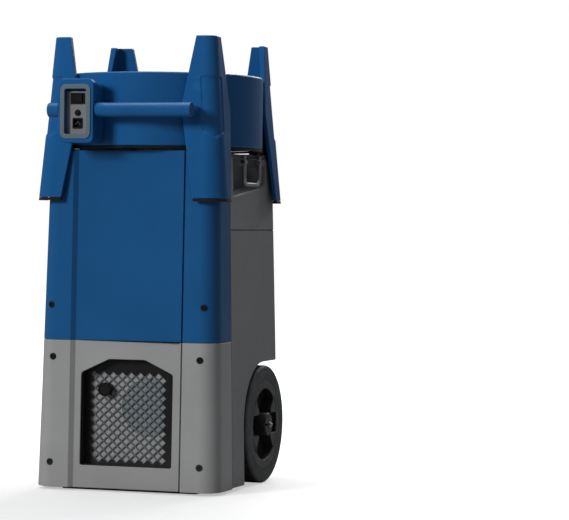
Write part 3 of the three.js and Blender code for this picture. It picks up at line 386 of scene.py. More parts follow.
class Nodes:
    """A material's node tree with short ways to add and link nodes."""

    def __init__(self, name):
        self.material = bpy.data.materials.new(name)
        self.material.use_nodes = True
        self.tree = self.material.node_tree
        self.surface = self.tree.nodes["Principled BSDF"]
        self.place = self.add("ShaderNodeTexCoord").outputs["Object"]

    def add(self, kind, **inputs):
        node = self.tree.nodes.new(kind)
        for key, value in inputs.items():
            self.put(node.inputs[key.replace("_", " ")], value)
        return node

    def put(self, socket, value):
        if isinstance(value, bpy.types.NodeSocket):
            self.tree.links.new(value, socket)
        else:
            socket.default_value = value

    def noise(self, scale, detail=3, rough=0.5, place=None):
        node = self.add("ShaderNodeTexNoise", Scale=scale, Detail=detail, Roughness=rough)
        self.put(node.inputs["Vector"], place or self.place)
        return node.outputs["Fac"]

    def ramp(self, value, low, high, start=0.0, end=1.0):
        """Maps value from start..end to low..high."""
        node = self.add("ShaderNodeMapRange")
        settings = {"Value": value, "From Min": start, "From Max": end, "To Min": low, "To Max": high}
        for key, setting in settings.items():
            self.put(node.inputs[key], setting)
        return node.outputs["Result"]

    def math(self, operation, first, second):
        node = self.add("ShaderNodeMath")
        node.operation = operation
        self.put(node.inputs[0], first)
        self.put(node.inputs[1], second)
        return node.outputs[0]

    def mix(self, share, first, second):
        node = self.tree.nodes.new("ShaderNodeMix")
        node.data_type = "RGBA"
        for socket, value in zip((node.inputs[0], node.inputs[6], node.inputs[7]), (share, first, second)):
            self.put(socket, value)
        return node.outputs[2]

    def cloudy(self, scale, detail, low, high, start=0.3):
        """Noise spread over low..high."""
        return self.ramp(self.noise(scale, detail), low, high, start, 0.7)

    def height(self):
        return self.add("ShaderNodeSeparateXYZ", Vector=self.place).outputs["Z"]

    def bump(self, height, strength, distance, below=None):
        node = self.add("ShaderNodeBump", Height=height, Strength=strength, Distance=distance)
        if below:
            self.put(node.inputs["Normal"], below)
        return node.outputs["Normal"]

    def stretched(self, x, y, z):
        node = self.add("ShaderNodeMapping", Vector=self.place)
        node.inputs["Scale"].default_value = (x, y, z)
        return node.outputs["Vector"]

    def finish(self, **inputs):
        for key, value in inputs.items():
            self.put(self.surface.inputs[key.replace("_", " ")], value)
        return self.material


def shade(rgb, factor):
    return tuple(min(1.0, c * factor) for c in rgb) + (1.0,)


def moulded(name, rgb, roughness, grain=1400, grain_depth=0.12, edge_wear_and_highlight=0.2, metal=0.0):
    """Moulded plastic: cloudy tone, fine texture, paler edges that are partly wear and partly a painted
    highlight, and dust near the floor.
    """
    n = Nodes(name)
    tone = n.mix(n.cloudy(7, 4, 0, 1), shade(rgb, 0.93), shade(rgb, 1.06))
    scuffs = n.noise(1, 5, 0.6, n.stretched(40, 40, 6))
    tone = n.mix(n.ramp(scuffs, 0, 0.18, 0.62, 0.75), tone, shade(rgb, 1.35))
    # Pointed edges are lightened: partly wear, partly a painted highlight where edges catch the light.
    edge = n.add("ShaderNodeNewGeometry").outputs["Pointiness"]
    tone = n.mix(n.ramp(edge, 0, edge_wear_and_highlight, 0.52, 0.6), tone, shade(rgb, 1.9))
    low = n.math("MULTIPLY", n.ramp(n.height(), 0.15, 0, 0.0, 0.12), n.noise(30, 5))
    tone = n.mix(low, tone, (0.33, 0.31, 0.28, 1))
    skin = n.bump(n.noise(grain, 2), grain_depth, 0.0004)
    skin = n.bump(n.noise(9, 2), 0.12, 0.002, skin)
    rough = n.cloudy(18, 5, roughness - 0.07, roughness + 0.08)
    return n.finish(Base_Color=tone, Roughness=rough, Metallic=metal, Normal=skin, Specular_IOR_Level=0.3)


def rubber(name, rgb, dust=0.5):
    """Black rubber with a chalky bloom and fine pits."""
    n = Nodes(name)
    bloom = n.mix(n.cloudy(22, 5, 0, 1, 0.35), shade(rgb, 0.75), shade(rgb, 1.35))
    tone = n.mix(n.ramp(n.height(), dust * 0.5, 0, 0.0, 0.06), bloom, (0.25, 0.24, 0.22, 1))
    skin = n.bump(n.noise(900, 3), 0.25, 0.0005)
    rough = n.cloudy(40, 4, 0.6, 0.8)
    return n.finish(Base_Color=tone, Roughness=rough, Normal=skin, Specular_IOR_Level=0.35)


def brushed(name, rgb, roughness=0.32):
    """Metal with fine directional brushing."""
    n = Nodes(name)
    lines = n.noise(1, 3, 0.6, n.stretched(900, 30, 900))
    tone = n.mix(n.ramp(lines, 0, 1, 0.3, 0.7), shade(rgb, 0.85), shade(rgb, 1.1))
    rough = n.cloudy(60, 4, roughness - 0.08, roughness + 0.12)
    return n.finish(Base_Color=tone, Roughness=rough, Metallic=1.0, Normal=n.bump(lines, 0.15, 0.0002))


def powder_coat(name, rgb, roughness=0.5):
    """Powder-coated metal with orange-peel."""
    n = Nodes(name)
    tone = n.mix(n.cloudy(15, 3, 0, 1), shade(rgb, 0.85), shade(rgb, 1.2))
    skin = n.bump(n.noise(500, 2), 0.3, 0.0004)
    rough = n.cloudy(80, 3, roughness - 0.08, roughness + 0.1)
    return n.finish(Base_Color=tone, Roughness=rough, Normal=skin, Specular_IOR_Level=0.2)


def fibre(name, rgb):
    """Non-woven filter cloth: fine crossed fibres."""
    n = Nodes(name)
    across = n.noise(1, 2, 0.5, n.stretched(1500, 1500, 180))
    along = n.noise(1, 2, 0.5, n.stretched(180, 1500, 1500))
    weave = n.ramp(n.math("ADD", across, along), 0, 1, 0.8, 1.2)
    tone = n.mix(weave, shade(rgb, 0.8), shade(rgb, 1.12))
    return n.finish(Base_Color=tone, Roughness=0.95, Normal=n.bump(weave, 0.5, 0.0008))


def lens(name, rgb):
    """Smoked clear plastic with faint smears."""
    n = Nodes(name)
    smear = n.noise(1, 4, 0.6, n.stretched(60, 60, 15))
    rough = n.ramp(smear, 0.05, 0.22, 0.4, 0.7)
    tone = n.mix(smear, shade(rgb, 0.7), shade(rgb, 1.3))
    return n.finish(Base_Color=tone, Roughness=rough, Coat_Weight=0.6)


# Each coat is a material and the name of a slot.
BLUE = moulded("blue_moulding", (0.008, 0.083, 0.232), 0.42), "blue_plastic"
BLUE_FAN = moulded("blue_fan_moulding", (0.008, 0.09, 0.26), 0.42), "blue_plastic"
SILVER = moulded("silver_moulding", (0.325, 0.326, 0.328), 0.45, metal=0.1), "silver_plastic"
GRAPHITE = (moulded("graphite_moulding", (0.225, 0.228, 0.235), 0.55, grain=900, grain_depth=0.3),
            "graphite_plastic")
BLACK = moulded("black_moulding", (0.012, 0.012, 0.013), 0.5, edge_wear_and_highlight=0.06), "black_plastic"
SWITCH_BLACK = moulded("switch_black", (0.009, 0.009, 0.01), 0.4, edge_wear_and_highlight=0.05), "black_plastic"
SCREW_BLACK = SWITCH_BLACK[0], "black_metal"
WHEEL_BLACK = moulded("wheel_black", (0.062, 0.065, 0.067), 0.5, edge_wear_and_highlight=0.1), "black_plastic"
# A darker copy of the wheel black for faces deep in the dish and on the hub cover's sides: painted shade.
DISH_SHADE_BLACK = moulded("dish_painted_shade", (0.02, 0.02, 0.021), 0.5, edge_wear_and_highlight=0.05), "black_plastic"
GREY = moulded("grey_moulding", (0.16, 0.17, 0.175), 0.45), "grey_plastic"
BEZEL_GREY = moulded("bezel_grey", (0.11, 0.15, 0.18), 0.45), "grey_plastic"
PLATE_GREY = moulded("plate_grey", (0.19, 0.2, 0.21), 0.45), "grey_plastic"
HUB_GREY = moulded("hub_grey", (0.035, 0.038, 0.038), 0.45), "grey_plastic"
KEY_GREY = moulded("key_grey", (0.3, 0.31, 0.32), 0.5), "grey_plastic"
TYRE = rubber("tyre_rubber", (0.055, 0.058, 0.06)), "tyre_rubber"
# A darker copy of the tyre rubber for the tread, with less dust: painted shade.
TREAD_SHADE = rubber("tread_rubber_painted_shade", (0.018, 0.018, 0.019), dust=0.2), "tyre_rubber"
FOOT = rubber("foot_rubber", (0.012, 0.012, 0.012), dust=0), "black_rubber"
STEEL = brushed("satin_steel", (0.55, 0.56, 0.57)), "frame_steel"
HANDLE_METAL = brushed("handle_metal", (0.36, 0.37, 0.38), 0.5), "frame_steel"
ALUMINIUM = brushed("fin_aluminium", (0.75, 0.76, 0.78), 0.4), "coil_aluminium"
COPPER = brushed("drawn_copper", (0.72, 0.33, 0.17), 0.3), "copper"
BLACK_METAL = powder_coat("black_powder_coat", (0.013, 0.013, 0.014)), "black_metal"
GRILLE_METAL = powder_coat("grille_powder_coat", (0.115, 0.118, 0.12), 0.6), "grille_metal"
FILTER = fibre("filter_cloth", (0.34, 0.345, 0.35)), "filter_cloth"
PORT_CLOTH = fibre("port_cloth", (0.22, 0.26, 0.285)), "filter_cloth"
LENS = lens("smoked_lens", (0.01, 0.014, 0.016)), "dark_lens"


# ---- tower shells

def tapered(x, y, z):
    """Moves a plan point drawn at floor level to where it lies at height z."""
    beyond = max(abs(x) - PILLAR_IN, 0) * (HALF_WIDTH - TAPER * z - PILLAR_IN) / (HALF_WIDTH - PILLAR_IN)
    narrow = min(abs(x), PILLAR_IN) + beyond
    return (math.copysign(narrow, x), y * (HALF_DEPTH - TAPER * z) / HALF_DEPTH, z)


def front_path(inset):
    """Plan of the tower's front at floor level, from the left rear end to the right rear end.

    The sunk panel meets the right pillar in a groove and a step, and the left one in a slope.
    """
    w, d, r = HALF_WIDTH - inset, HALF_DEPTH - inset, FRONT_RADIUS - inset
    pillar = PILLAR_IN + inset * math.tan(math.pi / 8)
    groove, panel = pillar - STEP_WIDTH - GROOVE_WIDTH, -d + PANEL_SINK
    step = filleted([(groove - 30, panel), (groove, panel), (groove + 0.4, panel + GROOVE_DEPTH),
                     (groove + GROOVE_WIDTH - 0.4, panel + GROOVE_DEPTH), (groove + GROOVE_WIDTH, panel),
                     (pillar, -d), (w - r, -d)], 0.8)
    slope = filleted([(pillar - SLOPE_WIDTH - 30, panel), (pillar - SLOPE_WIDTH, panel),
                      (pillar, -d), (w - r, -d)], 0.8)
    corner = arc(w - r, -d + r, r, -90, 0, 24) + [(w, COVER_BACK)]
    return [(-x, y) for x, y in reversed(slope[:-1] + corner)] + step[:-1] + corner


def full_outline(inset):
    """Closed plan of the whole tower at floor level."""
    w, d, r = HALF_WIDTH - inset, HALF_DEPTH - inset, max(REAR_RADIUS - inset, 3)
    rear = arc(w - r, d - r, r, 0, 90, 8)
    return front_path(inset) + rear + [(-x, y) for x, y in reversed(rear)]


def skin(plan, levels):
    return loft([[tapered(x, y, z) for x, y in plan] for z in levels])


def cover_shell(z0, z1):
    plan = front_path(0) + list(reversed(front_path(COVER_THICK)))
    return skin(plan, (z0, z1))


def inlet_outline(grow):
    half, low, high = INLET["half"] + grow, INLET["bottom"] - grow, INLET["top"] + grow
    flat, shoulder = INLET["flat"], INLET["shoulder"]
    corners = [(-half, low), (half, low), (half, shoulder), (flat, high), (-flat, high), (-half, shoulder)]
    return filleted(corners, 5, 5, closed=True)


def lower_cover():
    shell = cover_shell(LOWER_LOW.z, LOWER_HIGH.z)
    return cut(shell, prism_y(inlet_outline(0), -300, -150))


def lattice_point(i, j):
    low = span("inlet_grille")[0]
    return low.x + 1 + i * LATTICE["x"], low.z + 1 + j * LATTICE["z"]


def lattice_count():
    low, high = span("inlet_grille")
    return int((high.x - low.x) / LATTICE["x"]), int((high.z - low.z) / LATTICE["z"])


def mesh_window():
    """Zigzag outline through the outer crossings of the lattice: only whole diamonds show."""
    columns, rows = lattice_count()
    path = [(i, i % 2) for i in range(columns + 1)]
    path += [(columns - (columns + j) % 2, j) for j in range(1, rows)]
    path += [(i, rows - (i + rows) % 2) for i in range(columns, -1, -1)]
    path += [(j % 2, j) for j in range(rows - 1, 0, -1)]
    outline = []
    for point in path:
        if outline and outline[-1] == point:
            continue
        if len(outline) > 1 and outline[-2] == point:
            outline.pop()
            continue
        outline.append(point)
    while outline[0] == outline[-1] or outline[1] == outline[-1]:
        outline.pop(0)
    return [lattice_point(i, j) for i, j in outline]


def inlet_surround():
    """Black tunnel behind the inlet opening with a plate round the mesh."""
    front, mesh = span("inlet_frame")[0].y, span("inlet_grille")[0].y
    shell = cut(prism_y(inlet_outline(4.5), front, mesh), prism_y(inlet_outline(-1.2), -300, -100))
    plate = prism_y(inlet_outline(4.5), mesh - 3, mesh - 0.3)
    return together(shell, cut(plate, prism_y(mesh_window(), -300, -100)))


def wheel_well(grow):
    r = WELL_RADIUS + grow
    low, high = -20, WHEEL.z + r
    rim = arc(WHEEL.y, WHEEL.z, r, 90, 180, 32)
    outline = [(WHEEL.y - r, low), (HALF_DEPTH + 60, low), (HALF_DEPTH + 60, high)] + rim
    return prism_x(outline, WELL_FLOOR - grow, HALF_WIDTH + 60)


def handle_pocket(grow):
    front, back = POCKET["front"] - grow, POCKET["back"] + grow
    sills = [(front, POCKET["front_sill"] - grow), (back, POCKET["back_sill"] - grow)]
    corners = sills + [(back, 900), (front, 900)]
    return prism_x(filleted(corners, 8, 6, closed=True), POCKET["floor"] - grow, HALF_WIDTH + 60)


def main_housing():
    """Rear shell with the wheel wells, the handle pockets and the openings of its back face."""
    start = COVER_BACK + 0.8

    def plan(inset, front):
        w, d, r = HALF_WIDTH - inset, HALF_DEPTH - inset, REAR_RADIUS - inset
        rear = arc(w - r, d - r, r, 0, 90, 10)
        return [(-w, front), (w, front)] + rear + [(-x, y) for x, y in reversed(rear)]

    outer = skin(plan(0, start), (HOUSING_BOTTOM, HOUSING_TOP))
    inner = skin(plan(HOUSING_THICK, start - 30), (HOUSING_BOTTOM - 20, HOUSING_TOP + 20))
    wide = [wheel_well(HOUSING_THICK), handle_pocket(HOUSING_THICK)]
    inner = cut(inner, *wide, *[mirrored(tool) for tool in wide])
    tight = [wheel_well(0), handle_pocket(0)]
    panel_low, panel_high = span("control_panel")
    panel_hole = block(panel_low.x - 2, panel_high.x + 2, 150, 260, panel_low.z - 2, panel_high.z + 2)
    socket_hole = block(-24, 24, 150, 260, 452, 478)
    seam = cut(block(-260, 260, start - 20, 260, SEAM_Z - 0.8, SEAM_Z + 0.8),
               skin(full_outline(1.4), (500, 600)))
    return cut(outer, inner, *tight, *[mirrored(tool) for tool in tight], panel_hole, socket_hole, seam)


def handle_ears():
    """Ears in a pocket that hold the pins of the side handle."""
    low, high = span("right_side_handle")
    pivot, outside, inside = high.z - HANDLE_PIVOT_DROP, (low.x + high.x) / 2 + EAR_OUT, POCKET["floor"] - 1
    outline = filleted([(inside, pivot - 9), (outside, pivot - 9), (outside, pivot + 7), (inside, pivot + 7)],
                       6, 5, closed=True)
    return together(*[prism_y(outline, y, y + EAR_THICK) for y in (low.y, high.y - EAR_THICK)])


def deck_plate():
    z0, z1 = HOUSING_TOP + 0.4, UPPER_HIGH.z
    plate = skin(full_outline(COVER_THICK + 0.4), (z0, z1))
    outlet = tube(0, OUTLET_RADIUS, z0 - 5, z1 + 5, 96)
    return cut(plate, outlet, handle_pocket(0), mirrored(handle_pocket(0)))


def deck_rim():
    """Low wall round the deck and a collar inside the ring, which close the gap under the ring."""
    z0, z1 = UPPER_HIGH.z - 1, UPPER_HIGH.z + 2.6
    outer = skin(full_outline(COVER_THICK + 6.4), (z0, z1))
    inner = skin(full_outline(COVER_THICK + 10.4), (z0 - 5, z1 + 5))
    collar = tube(COLLAR["inner"], COLLAR["outer"], z0, z0 + COLLAR["height"], 128)
    return cut(together(cut(outer, inner), collar), handle_pocket(0), mirrored(handle_pocket(0)))


def deck_grille():
    """Rings and bars across the air outlet of the deck."""
    z0, z1 = HOUSING_TOP + 1.4, UPPER_HIGH.z - 1
    rings = [tube(r - 2, r + 2, z0, z1, 72) for r in range(22, OUTLET_RADIUS - 2, 18)]
    bar = block(20, OUTLET_RADIUS + 1, -3, 3, z0 + 0.5, z1 - 0.5)
    return together(*rings, *around(bar, 6))


# ---- fan unit shells

def between(z, z0, z1, a, b):
    return a + (b - a) * (z - z0) / (z1 - z0)


def leg_out(z):
    return between(z, LEG_BOTTOM, LEG_TOP, LEG_OUT_BOTTOM, LEG_OUT_TOP)


def leg_size(z):
    """Wing length, wall and corner radius of a leg at height z."""
    if z < LEG_WIDEST:
        return [between(z, LEG_BOTTOM, LEG_WIDEST, a, b) for a, b in ((63, 80), (8, 8.5), (42, 32))]
    return [between(z, LEG_WIDEST, LEG_TOP, a, b) for a, b in ((80, 40), (8.5, 13), (32, 22))]


def shield_depth(s, z):
    """How far the leg's surface is sunk at arc length s from its corner's middle."""
    inside = min(SHIELD["half"] - abs(s), SHIELD["top"] - z, z - SHIELD["tip"] - SHIELD["slope"] * abs(s))
    t = max(0.0, min(1.0, inside / SHIELD["edge"]))
    return SHIELD["depth"] * t * t * (3 - 2 * t)


def leg_ring(z, marks, inner_marks):
    """Closed section of a leg at height z. Marks go from -1 to 1 over the corner, to 2 at a wing's end."""
    out, (wing, wall, radius) = leg_out(z), leg_size(z)
    centre = out - radius
    half_arc = radius * math.pi / 4
    flat = wing - radius

    def point(mark, inset):
        side = math.copysign(1, mark)
        s = mark * (half_arc + 8) if abs(mark) <= 1 else side * (half_arc + 8 + (abs(mark) - 1) * (flat - 8))
        depth = inset or shield_depth(s, z)
        along = min(abs(s), half_arc)
        angle = math.pi / 4 + side * along / radius
        x = centre + (radius - depth) * math.cos(angle)
        y = centre + (radius - depth) * math.sin(angle)
        rest = abs(s) - along
        return (x - rest, y, z) if side > 0 else (x, y - rest, z)

    outer = [point(m, 0) for m in marks]
    inner = [point(m, wall) for m in reversed(inner_marks)]
    return outer + inner


def leg():
    """A tapered corner leg with a shield-shaped sunk field wrapped over its corner."""
    marks = [-2, -1.66, -1.33] + [i / 20 for i in range(-20, 21)] + [1.33, 1.66, 2]
    inner = [-2, -1.5] + [i / 8 for i in range(-8, 9)] + [1.5, 2]
    low = [FOOT_TOP + 0.4 + (SHIELD["tip"] - 4 - FOOT_TOP) * i / 8 for i in range(8)]
    fine = [SHIELD["tip"] - 2 + 2 * i for i in range(33)]
    middle_rows = [fine[-1] + 6 * i for i in range(1, 10)]
    top_field = [SHIELD["top"] - 6 + 1.5 * i for i in range(7)]
    high = [top_field[-1] + (LEG_TOP - top_field[-1]) * i / 6 for i in range(1, 7)]
    levels = sorted(set(round(z, 3) for z in low + fine + middle_rows + top_field + high))
    return loft([leg_ring(z, marks, inner) for z in levels])


def foot():
    """Rubber sole under a leg, a little proud of it."""
    marks = [-2, -1.5] + [i / 10 for i in range(-10, 11)] + [1.5, 2]
    return loft([leg_ring(z, marks, marks) for z in (LEG_BOTTOM, FOOT_TOP)])


def web():
    """Bridge from the ring to the inside of a leg."""
    rings = []
    for z in (HORN_TOP + 0.4, 800, RING_TOP - 8):
        inside = leg_out(z) - leg_size(z)[1] + 1
        rings.append([(168, 124, z), (inside, 124, z), (inside, inside - 24, z),
                      (inside - 24, inside, z), (124, inside, z), (124, 168, z)])
    return loft(rings)


def horn():
    """Stacking horn of the deck that stands inside a leg."""
    rings = []
    for z, out, wing, radius in ((UPPER_HIGH.z - 5, 178, 40, 30), (HORN_TOP, 176, 36, 28)):
        turn, turn_in = (arc(out - radius, out - radius, r, 0, 90, 12) for r in (radius, radius - 12))
        outer = [(out - wing, out)] + turn[::-1] + [(out, out - wing)]
        inner = [(out - 12, out - wing)] + turn_in + [(out - wing, out - 12)]
        rings.append([(x, y, z) for x, y in outer + inner])
    return loft(rings)


def ring():
    """Open ring with a rolled top edge and a small bottom bead."""
    top = arc(RING_INNER + 4.5, RING_TOP - 4.5, 4.5, 180, 0, 10)
    bottom = arc(RING_INNER + 4.5, RING_BOTTOM + 4.5, 4.5, 360, 180, 8)
    bead = [(RING_RADIUS, RING_BOTTOM + 16), (RING_RADIUS, RING_BOTTOM + 12)]
    return lathe(top + bead + bottom, 160)


def switch_box():
    """Box on the ring's front that houses the switches, lower towards the ring."""
    half_w = (BOX_RIGHT - BOX_LEFT) / 2
    rings = []
    for y, drop in ((BOX_FACE, 0), (-150, 17)):
        half_h = (BOX_TOP - drop - BOX_BOTTOM) / 2
        outline = rounded_rect(BOX_X, BOX_BOTTOM + half_h, half_w, half_h, 12, 10)
        rings.append([(x, y, z) for x, z in outline])
    window = prism_y(rounded_rect(BOX_X, middle("switch_bezel").z, 24, 46.5, 4), BOX_FACE - 5, BOX_FACE + 16)
    barrel = tube(0, RING_RADIUS - 4, 600, 950, 128)
    y, z = grip_axis()
    left, right = BOX_LEFT + BOX_SIDE, BOX_RIGHT - BOX_SIDE
    room = block(left, right, BOX_FACE + BOX_WALL, -212, BOX_BOTTOM + 4, BOX_TOP - 24)
    holes = [moved(tube(0, GRIP_RADIUS + 0.4, x0, x0 + 9 + BOX_SIDE, 48), (0, y, z), (0, 90, 0))
             for x0 in (BOX_LEFT - 9, right)]
    return cut(loft(rings), window, barrel, room, *holes)


def grip_axis():
    low, high = span("carry_handle")
    return low.y + GRIP_RADIUS, (low.z + high.z) / 2


def bezel():
    y0, y1 = BEZEL_LOW.y, BEZEL_HIGH.y
    z = middle("switch_bezel").z
    frame_shape = prism_y(rounded_rect(BOX_X, z, 33.5, 56, 13, 10), y0, y1)
    return cut(frame_shape, prism_y(rounded_rect(BOX_X, z, 24, 46.5, 4, 6), y0 - 5, y1 + 5))


def carry_handle():
    """Blunt bar on two posts; inside the switch box a tie behind the switches joins its halves."""
    low, high = span("carry_handle")
    y, z = grip_axis()
    left, right = BOX_LEFT + BOX_SIDE + 0.4, BOX_RIGHT - BOX_SIDE - 0.4
    room_front = BOX_FACE + BOX_WALL + 0.4
    cheek, half = TIE["cheek"], TIE["half"]

    def bar(start, length, turn):
        edge = arc(GRIP_RADIUS - 1.5, length - 1.5, 1.5, 0, 90, 5)
        rod = lathe([(0, 0), (GRIP_RADIUS, 0)] + edge + [(0, length)], 48)
        return moved(rod, (start, y, z), (0, turn, 0))

    bars = [bar(right - cheek, high.x - right + cheek, 90), bar(left + cheek, left + cheek - low.x, -90)]
    posts = [moved(tube(0, POST["radius"], y, POST["end"], 40), (side * POST["x"], 0, z), (-90, 0, 0))
             for side in (-1, 1)]
    tie = block(left, right, TIE["front"], TIE["back"], z - half, z + half)
    cheeks = [block(x0, x0 + cheek, room_front, TIE["back"], z - half, z + half)
              for x0 in (left, right - cheek)]
    room = block(left - 0.4, right + 0.4, y - 30, room_front, z - 30, z + 30)
    return cut(together(*bars, *posts, tie, *cheeks), room)


# ---- wheels

def darken(bm, chosen):
    """Gives the second material to the faces that the rule picks by radius, height and normal."""
    bm.normal_update()
    for face in bm.faces:
        centre = face.calc_center_median()
        if chosen(math.hypot(centre.x, centre.y), centre.z, face.normal):
            face.material_index = 1
    return bm


def on_wheel(bm):
    """Turns a shape made about Z with its face upwards into the right wheel's place."""
    return moved(bm, (0, WHEEL.y, WHEEL.z), (0, 90, 0))


def tyre():
    r, x0, x1, shoulder = WHEEL_RADIUS, WHEEL_INSIDE, WHEEL_FACE, TYRE_SHOULDER
    bottom = r - 1.6
    tread = []
    for i in range(4):
        x = x0 + shoulder + (x1 - x0 - 2 * shoulder) * (i + 0.5) / 4
        tread += [(r, x - 1.6), (bottom, x - 0.9), (bottom, x + 0.9), (r, x + 1.6)]
    inner_shoulder = arc(r - shoulder, x0 + shoulder, shoulder, -90, 0, 8)
    outer_shoulder = arc(r - shoulder, x1 - shoulder, shoulder, 0, 90, 8)
    whole = lathe([(TYRE_BORE, x0)] + inner_shoulder + tread + outer_shoulder + [(TYRE_BORE, x1)], 144)
    # Tread faces get the second, darker rubber: painted shade.
    return on_wheel(darken(whole, lambda r, z, normal: r > 100 and normal.z < 0.5))


def rim_disc():
    """Wheel centre: a flat band round a deep dish, with four lugs that reach towards the hub."""
    x0, x1 = WHEEL_INSIDE + 2, WHEEL_FACE - 0.2
    floor, edge = x1 - DISH_DEPTH, TYRE_BORE - 0.3
    lip = arc(DISH_RADIUS + 2, x1 - 2, 2, 90, 180, 5)
    wall = arc(DISH_RADIUS - 6, floor + 6, 6, 0, -90, 6)
    centre = [(34, floor), (28, floor + 5), (10, floor + 5)]
    band = lathe([(10, x0), (edge, x0), (edge, x1)] + lip + wall + centre, 96)
    lug = prism_z(filleted(LUG, 4, 5, closed=True), floor - 1, x1)
    flipped = lug.copy()
    bmesh.ops.scale(flipped, verts=flipped.verts, vec=(1, -1, 1))
    bmesh.ops.reverse_faces(flipped, faces=flipped.faces)
    lugs = [lug, moved(lug.copy(), turn=(0, 0, 180)), flipped, moved(flipped.copy(), turn=(0, 0, 180))]
    whole = together(band, tube(10, HUB_RADIUS, floor - 1, x1 + 3), *lugs)
    # Faces inside the dish get the second, darker material: painted shade in the recess.
    return on_wheel(darken(whole, lambda r, z, normal: r < DISH_RADIUS + 1 and z < x1 - 0.6))


def hub_cap():
    """Hub cover with a slot across it."""
    z0, z1 = WHEEL_FACE + 2.4, span("right_hub_cap")[1].x
    edge = arc(HUB_RADIUS - 3, z1 - 3, 3, 0, 90, 6)
    dome = [(0, z0), (HUB_RADIUS, z0), (HUB_RADIUS, z1 - 3)] + edge + [(0, z1 + 0.6)]
    slot = block(-2.4, 2.4, -30, 30, z1 - 4, z1 + 5)
    # The sides of the hub cover and its slot get the second, darker material: painted shade.
    return on_wheel(darken(cut(lathe(dome, 64), slot), lambda r, z, normal: z < z1 - 1.4))


def axle_nut():
    """Small bright nut in the middle of the hub cover."""
    z1 = span("right_hub_cap")[1].x
    nut = prism_z(arc(0, 0, NUT_RADIUS, 0, 300, 5), z1 - 2, z1 + 4)
    tip = [(0, z1 + 3), (3.4, z1 + 3), (3.4, z1 + 6.4), (2.4, z1 + 7.4), (0, z1 + 7.4)]
    return on_wheel(together(nut, lathe(tip, 24)))


# ---- small hardware

def screw_head():
    """Round screw head about Z with a hexagon socket."""
    radius, height, socket = 7.2, 2.6, 2.6
    slopes = [math.radians(a) for a in (20, 40, 58)]
    dome = [(radius, -1), (radius, 0.5)]
    dome += [(radius * math.cos(t), 0.5 + (height - 0.5) * math.sin(t)) for t in slopes]
    profile = [(0, -1)] + dome + [(socket + 0.6, height), (socket, height - 0.3), (socket, 0.3), (0, 0.3)]

    def hexagon(angle):
        flat = 1 / math.cos((angle % (math.pi / 3)) - math.pi / 6)
        return lambda r, z: r * flat if abs(r - socket) < 0.1 else r

    return lathe(profile, 48, hexagon)


def on_corner(bm, node):
    """Moves a shape that faces +Z onto the outside of the front corner, where the node is."""
    at = middle(node)
    side = math.copysign(1, at.x)
    z = at.z
    rx = FRONT_RADIUS * (HALF_WIDTH - TAPER * z - PILLAR_IN) / (HALF_WIDTH - PILLAR_IN)
    ry = FRONT_RADIUS * (HALF_DEPTH - TAPER * z) / HALF_DEPTH
    cx, cy = HALF_WIDTH - TAPER * z - rx, -(HALF_DEPTH - TAPER * z - ry)
    angle = math.atan2(abs(at.x) - cx, cy - at.y)
    surface = (side * (cx + rx * math.sin(angle)), cy - ry * math.cos(angle), z)
    facing = math.degrees(math.atan2(side * math.sin(angle) / rx, math.cos(angle) / ry))
    return moved(bm, surface, (90, 0, facing))


def side_handle():
    low, high = span("right_side_handle")
    pivot = high.z - HANDLE_PIVOT_DROP
    x = (low.x + high.x) / 2
    front, back = low.y + 14, high.y - 14
    bottom, top = low.z + HANDLE_RADIUS, pivot + 14
    path = [(x, front, top), (x, front, bottom), (x, back, bottom), (x, back, top)]
    parts = [sweep(path, HANDLE_RADIUS, 24, 18, 12)]
    for y, outwards in ((front, -1), (back, 1)):
        eye = lathe([(0, -5.5), (5, -5.5), (6, -4.5), (6, 4.5), (5, 5.5), (0, 5.5)], 32)
        pin = lathe([(0, 0), (4.5, 0), (4.5, 13), (3.5, 14), (0, 14)], 24)
        parts.append(moved(eye, (x, y, pivot), (90, 0, 0)))
        parts.append(moved(pin, (x, y, pivot), (-90 * outwards, 0, 0)))
    return together(*parts)


def grille_mesh():
    """Flat diamond lattice whose strands cross at every node of a staggered grid."""
    half_x, half_z, half_strand = LATTICE["x"], LATTICE["z"], LATTICE["half_strand"]
    side = math.hypot(half_x, half_z)
    sine = 2 * half_x * half_z / side ** 2
    reach_x, reach_z = 2 * half_strand / sine * half_x / side, 2 * half_strand / sine * half_z / side
    y = span("inlet_grille")[0].y + 0.4
    columns, rows = lattice_count()
    bm = bmesh.new()
    crossings = {}
    for i in range(columns + 1):
        for j in range(rows + 1):
            if (i + j) % 2:
                continue
            cx, cz = lattice_point(i, j)
            corners = {"right": (cx + reach_x, cz), "top": (cx, cz + reach_z),
                       "left": (cx - reach_x, cz), "bottom": (cx, cz - reach_z)}
            verts = {k: bm.verts.new((x, y, z)) for k, (x, z) in corners.items()}
            bm.faces.new(list(verts.values()))
            crossings[i, j] = verts
    for (i, j), here in crossings.items():
        up_right, up_left = crossings.get((i + 1, j + 1)), crossings.get((i - 1, j + 1))
        if up_right:
            bm.faces.new((here["right"], up_right["bottom"], up_right["left"], here["top"]))
        if up_left:
            bm.faces.new((here["top"], up_left["right"], up_left["bottom"], here["left"]))
    bmesh.ops.recalc_face_normals(bm, faces=bm.faces)
    faces = bmesh.ops.extrude_face_region(bm, geom=list(bm.faces))
    lifted = [v for v in faces["geom"] if isinstance(v, bmesh.types.BMVert)]
    bmesh.ops.translate(bm, verts=lifted, vec=(0, 2.2, 0))
    bmesh.ops.recalc_face_normals(bm, faces=bm.faces)
    return bm


def wire_guard(z, radii, start):
    """Concentric wires on radial wires that begin at the start radius."""
    parts = []
    for r in radii:
        parts.append(sweep([(x, y, z) for x, y in arc(0, 0, r, 0, 360, 96)[:-1]], GUARD_WIRE, 8, closed=True))
    for i in range(GUARD_SPOKES):
        a = 2 * math.pi * (i + 0.5) / GUARD_SPOKES
        below = z - 2 * GUARD_WIRE + 0.3
        ends = [(r * math.cos(a), r * math.sin(a), below) for r in (start, RING_INNER - 2.5)]
        parts.append(sweep(ends, GUARD_WIRE, 8))
    return parts


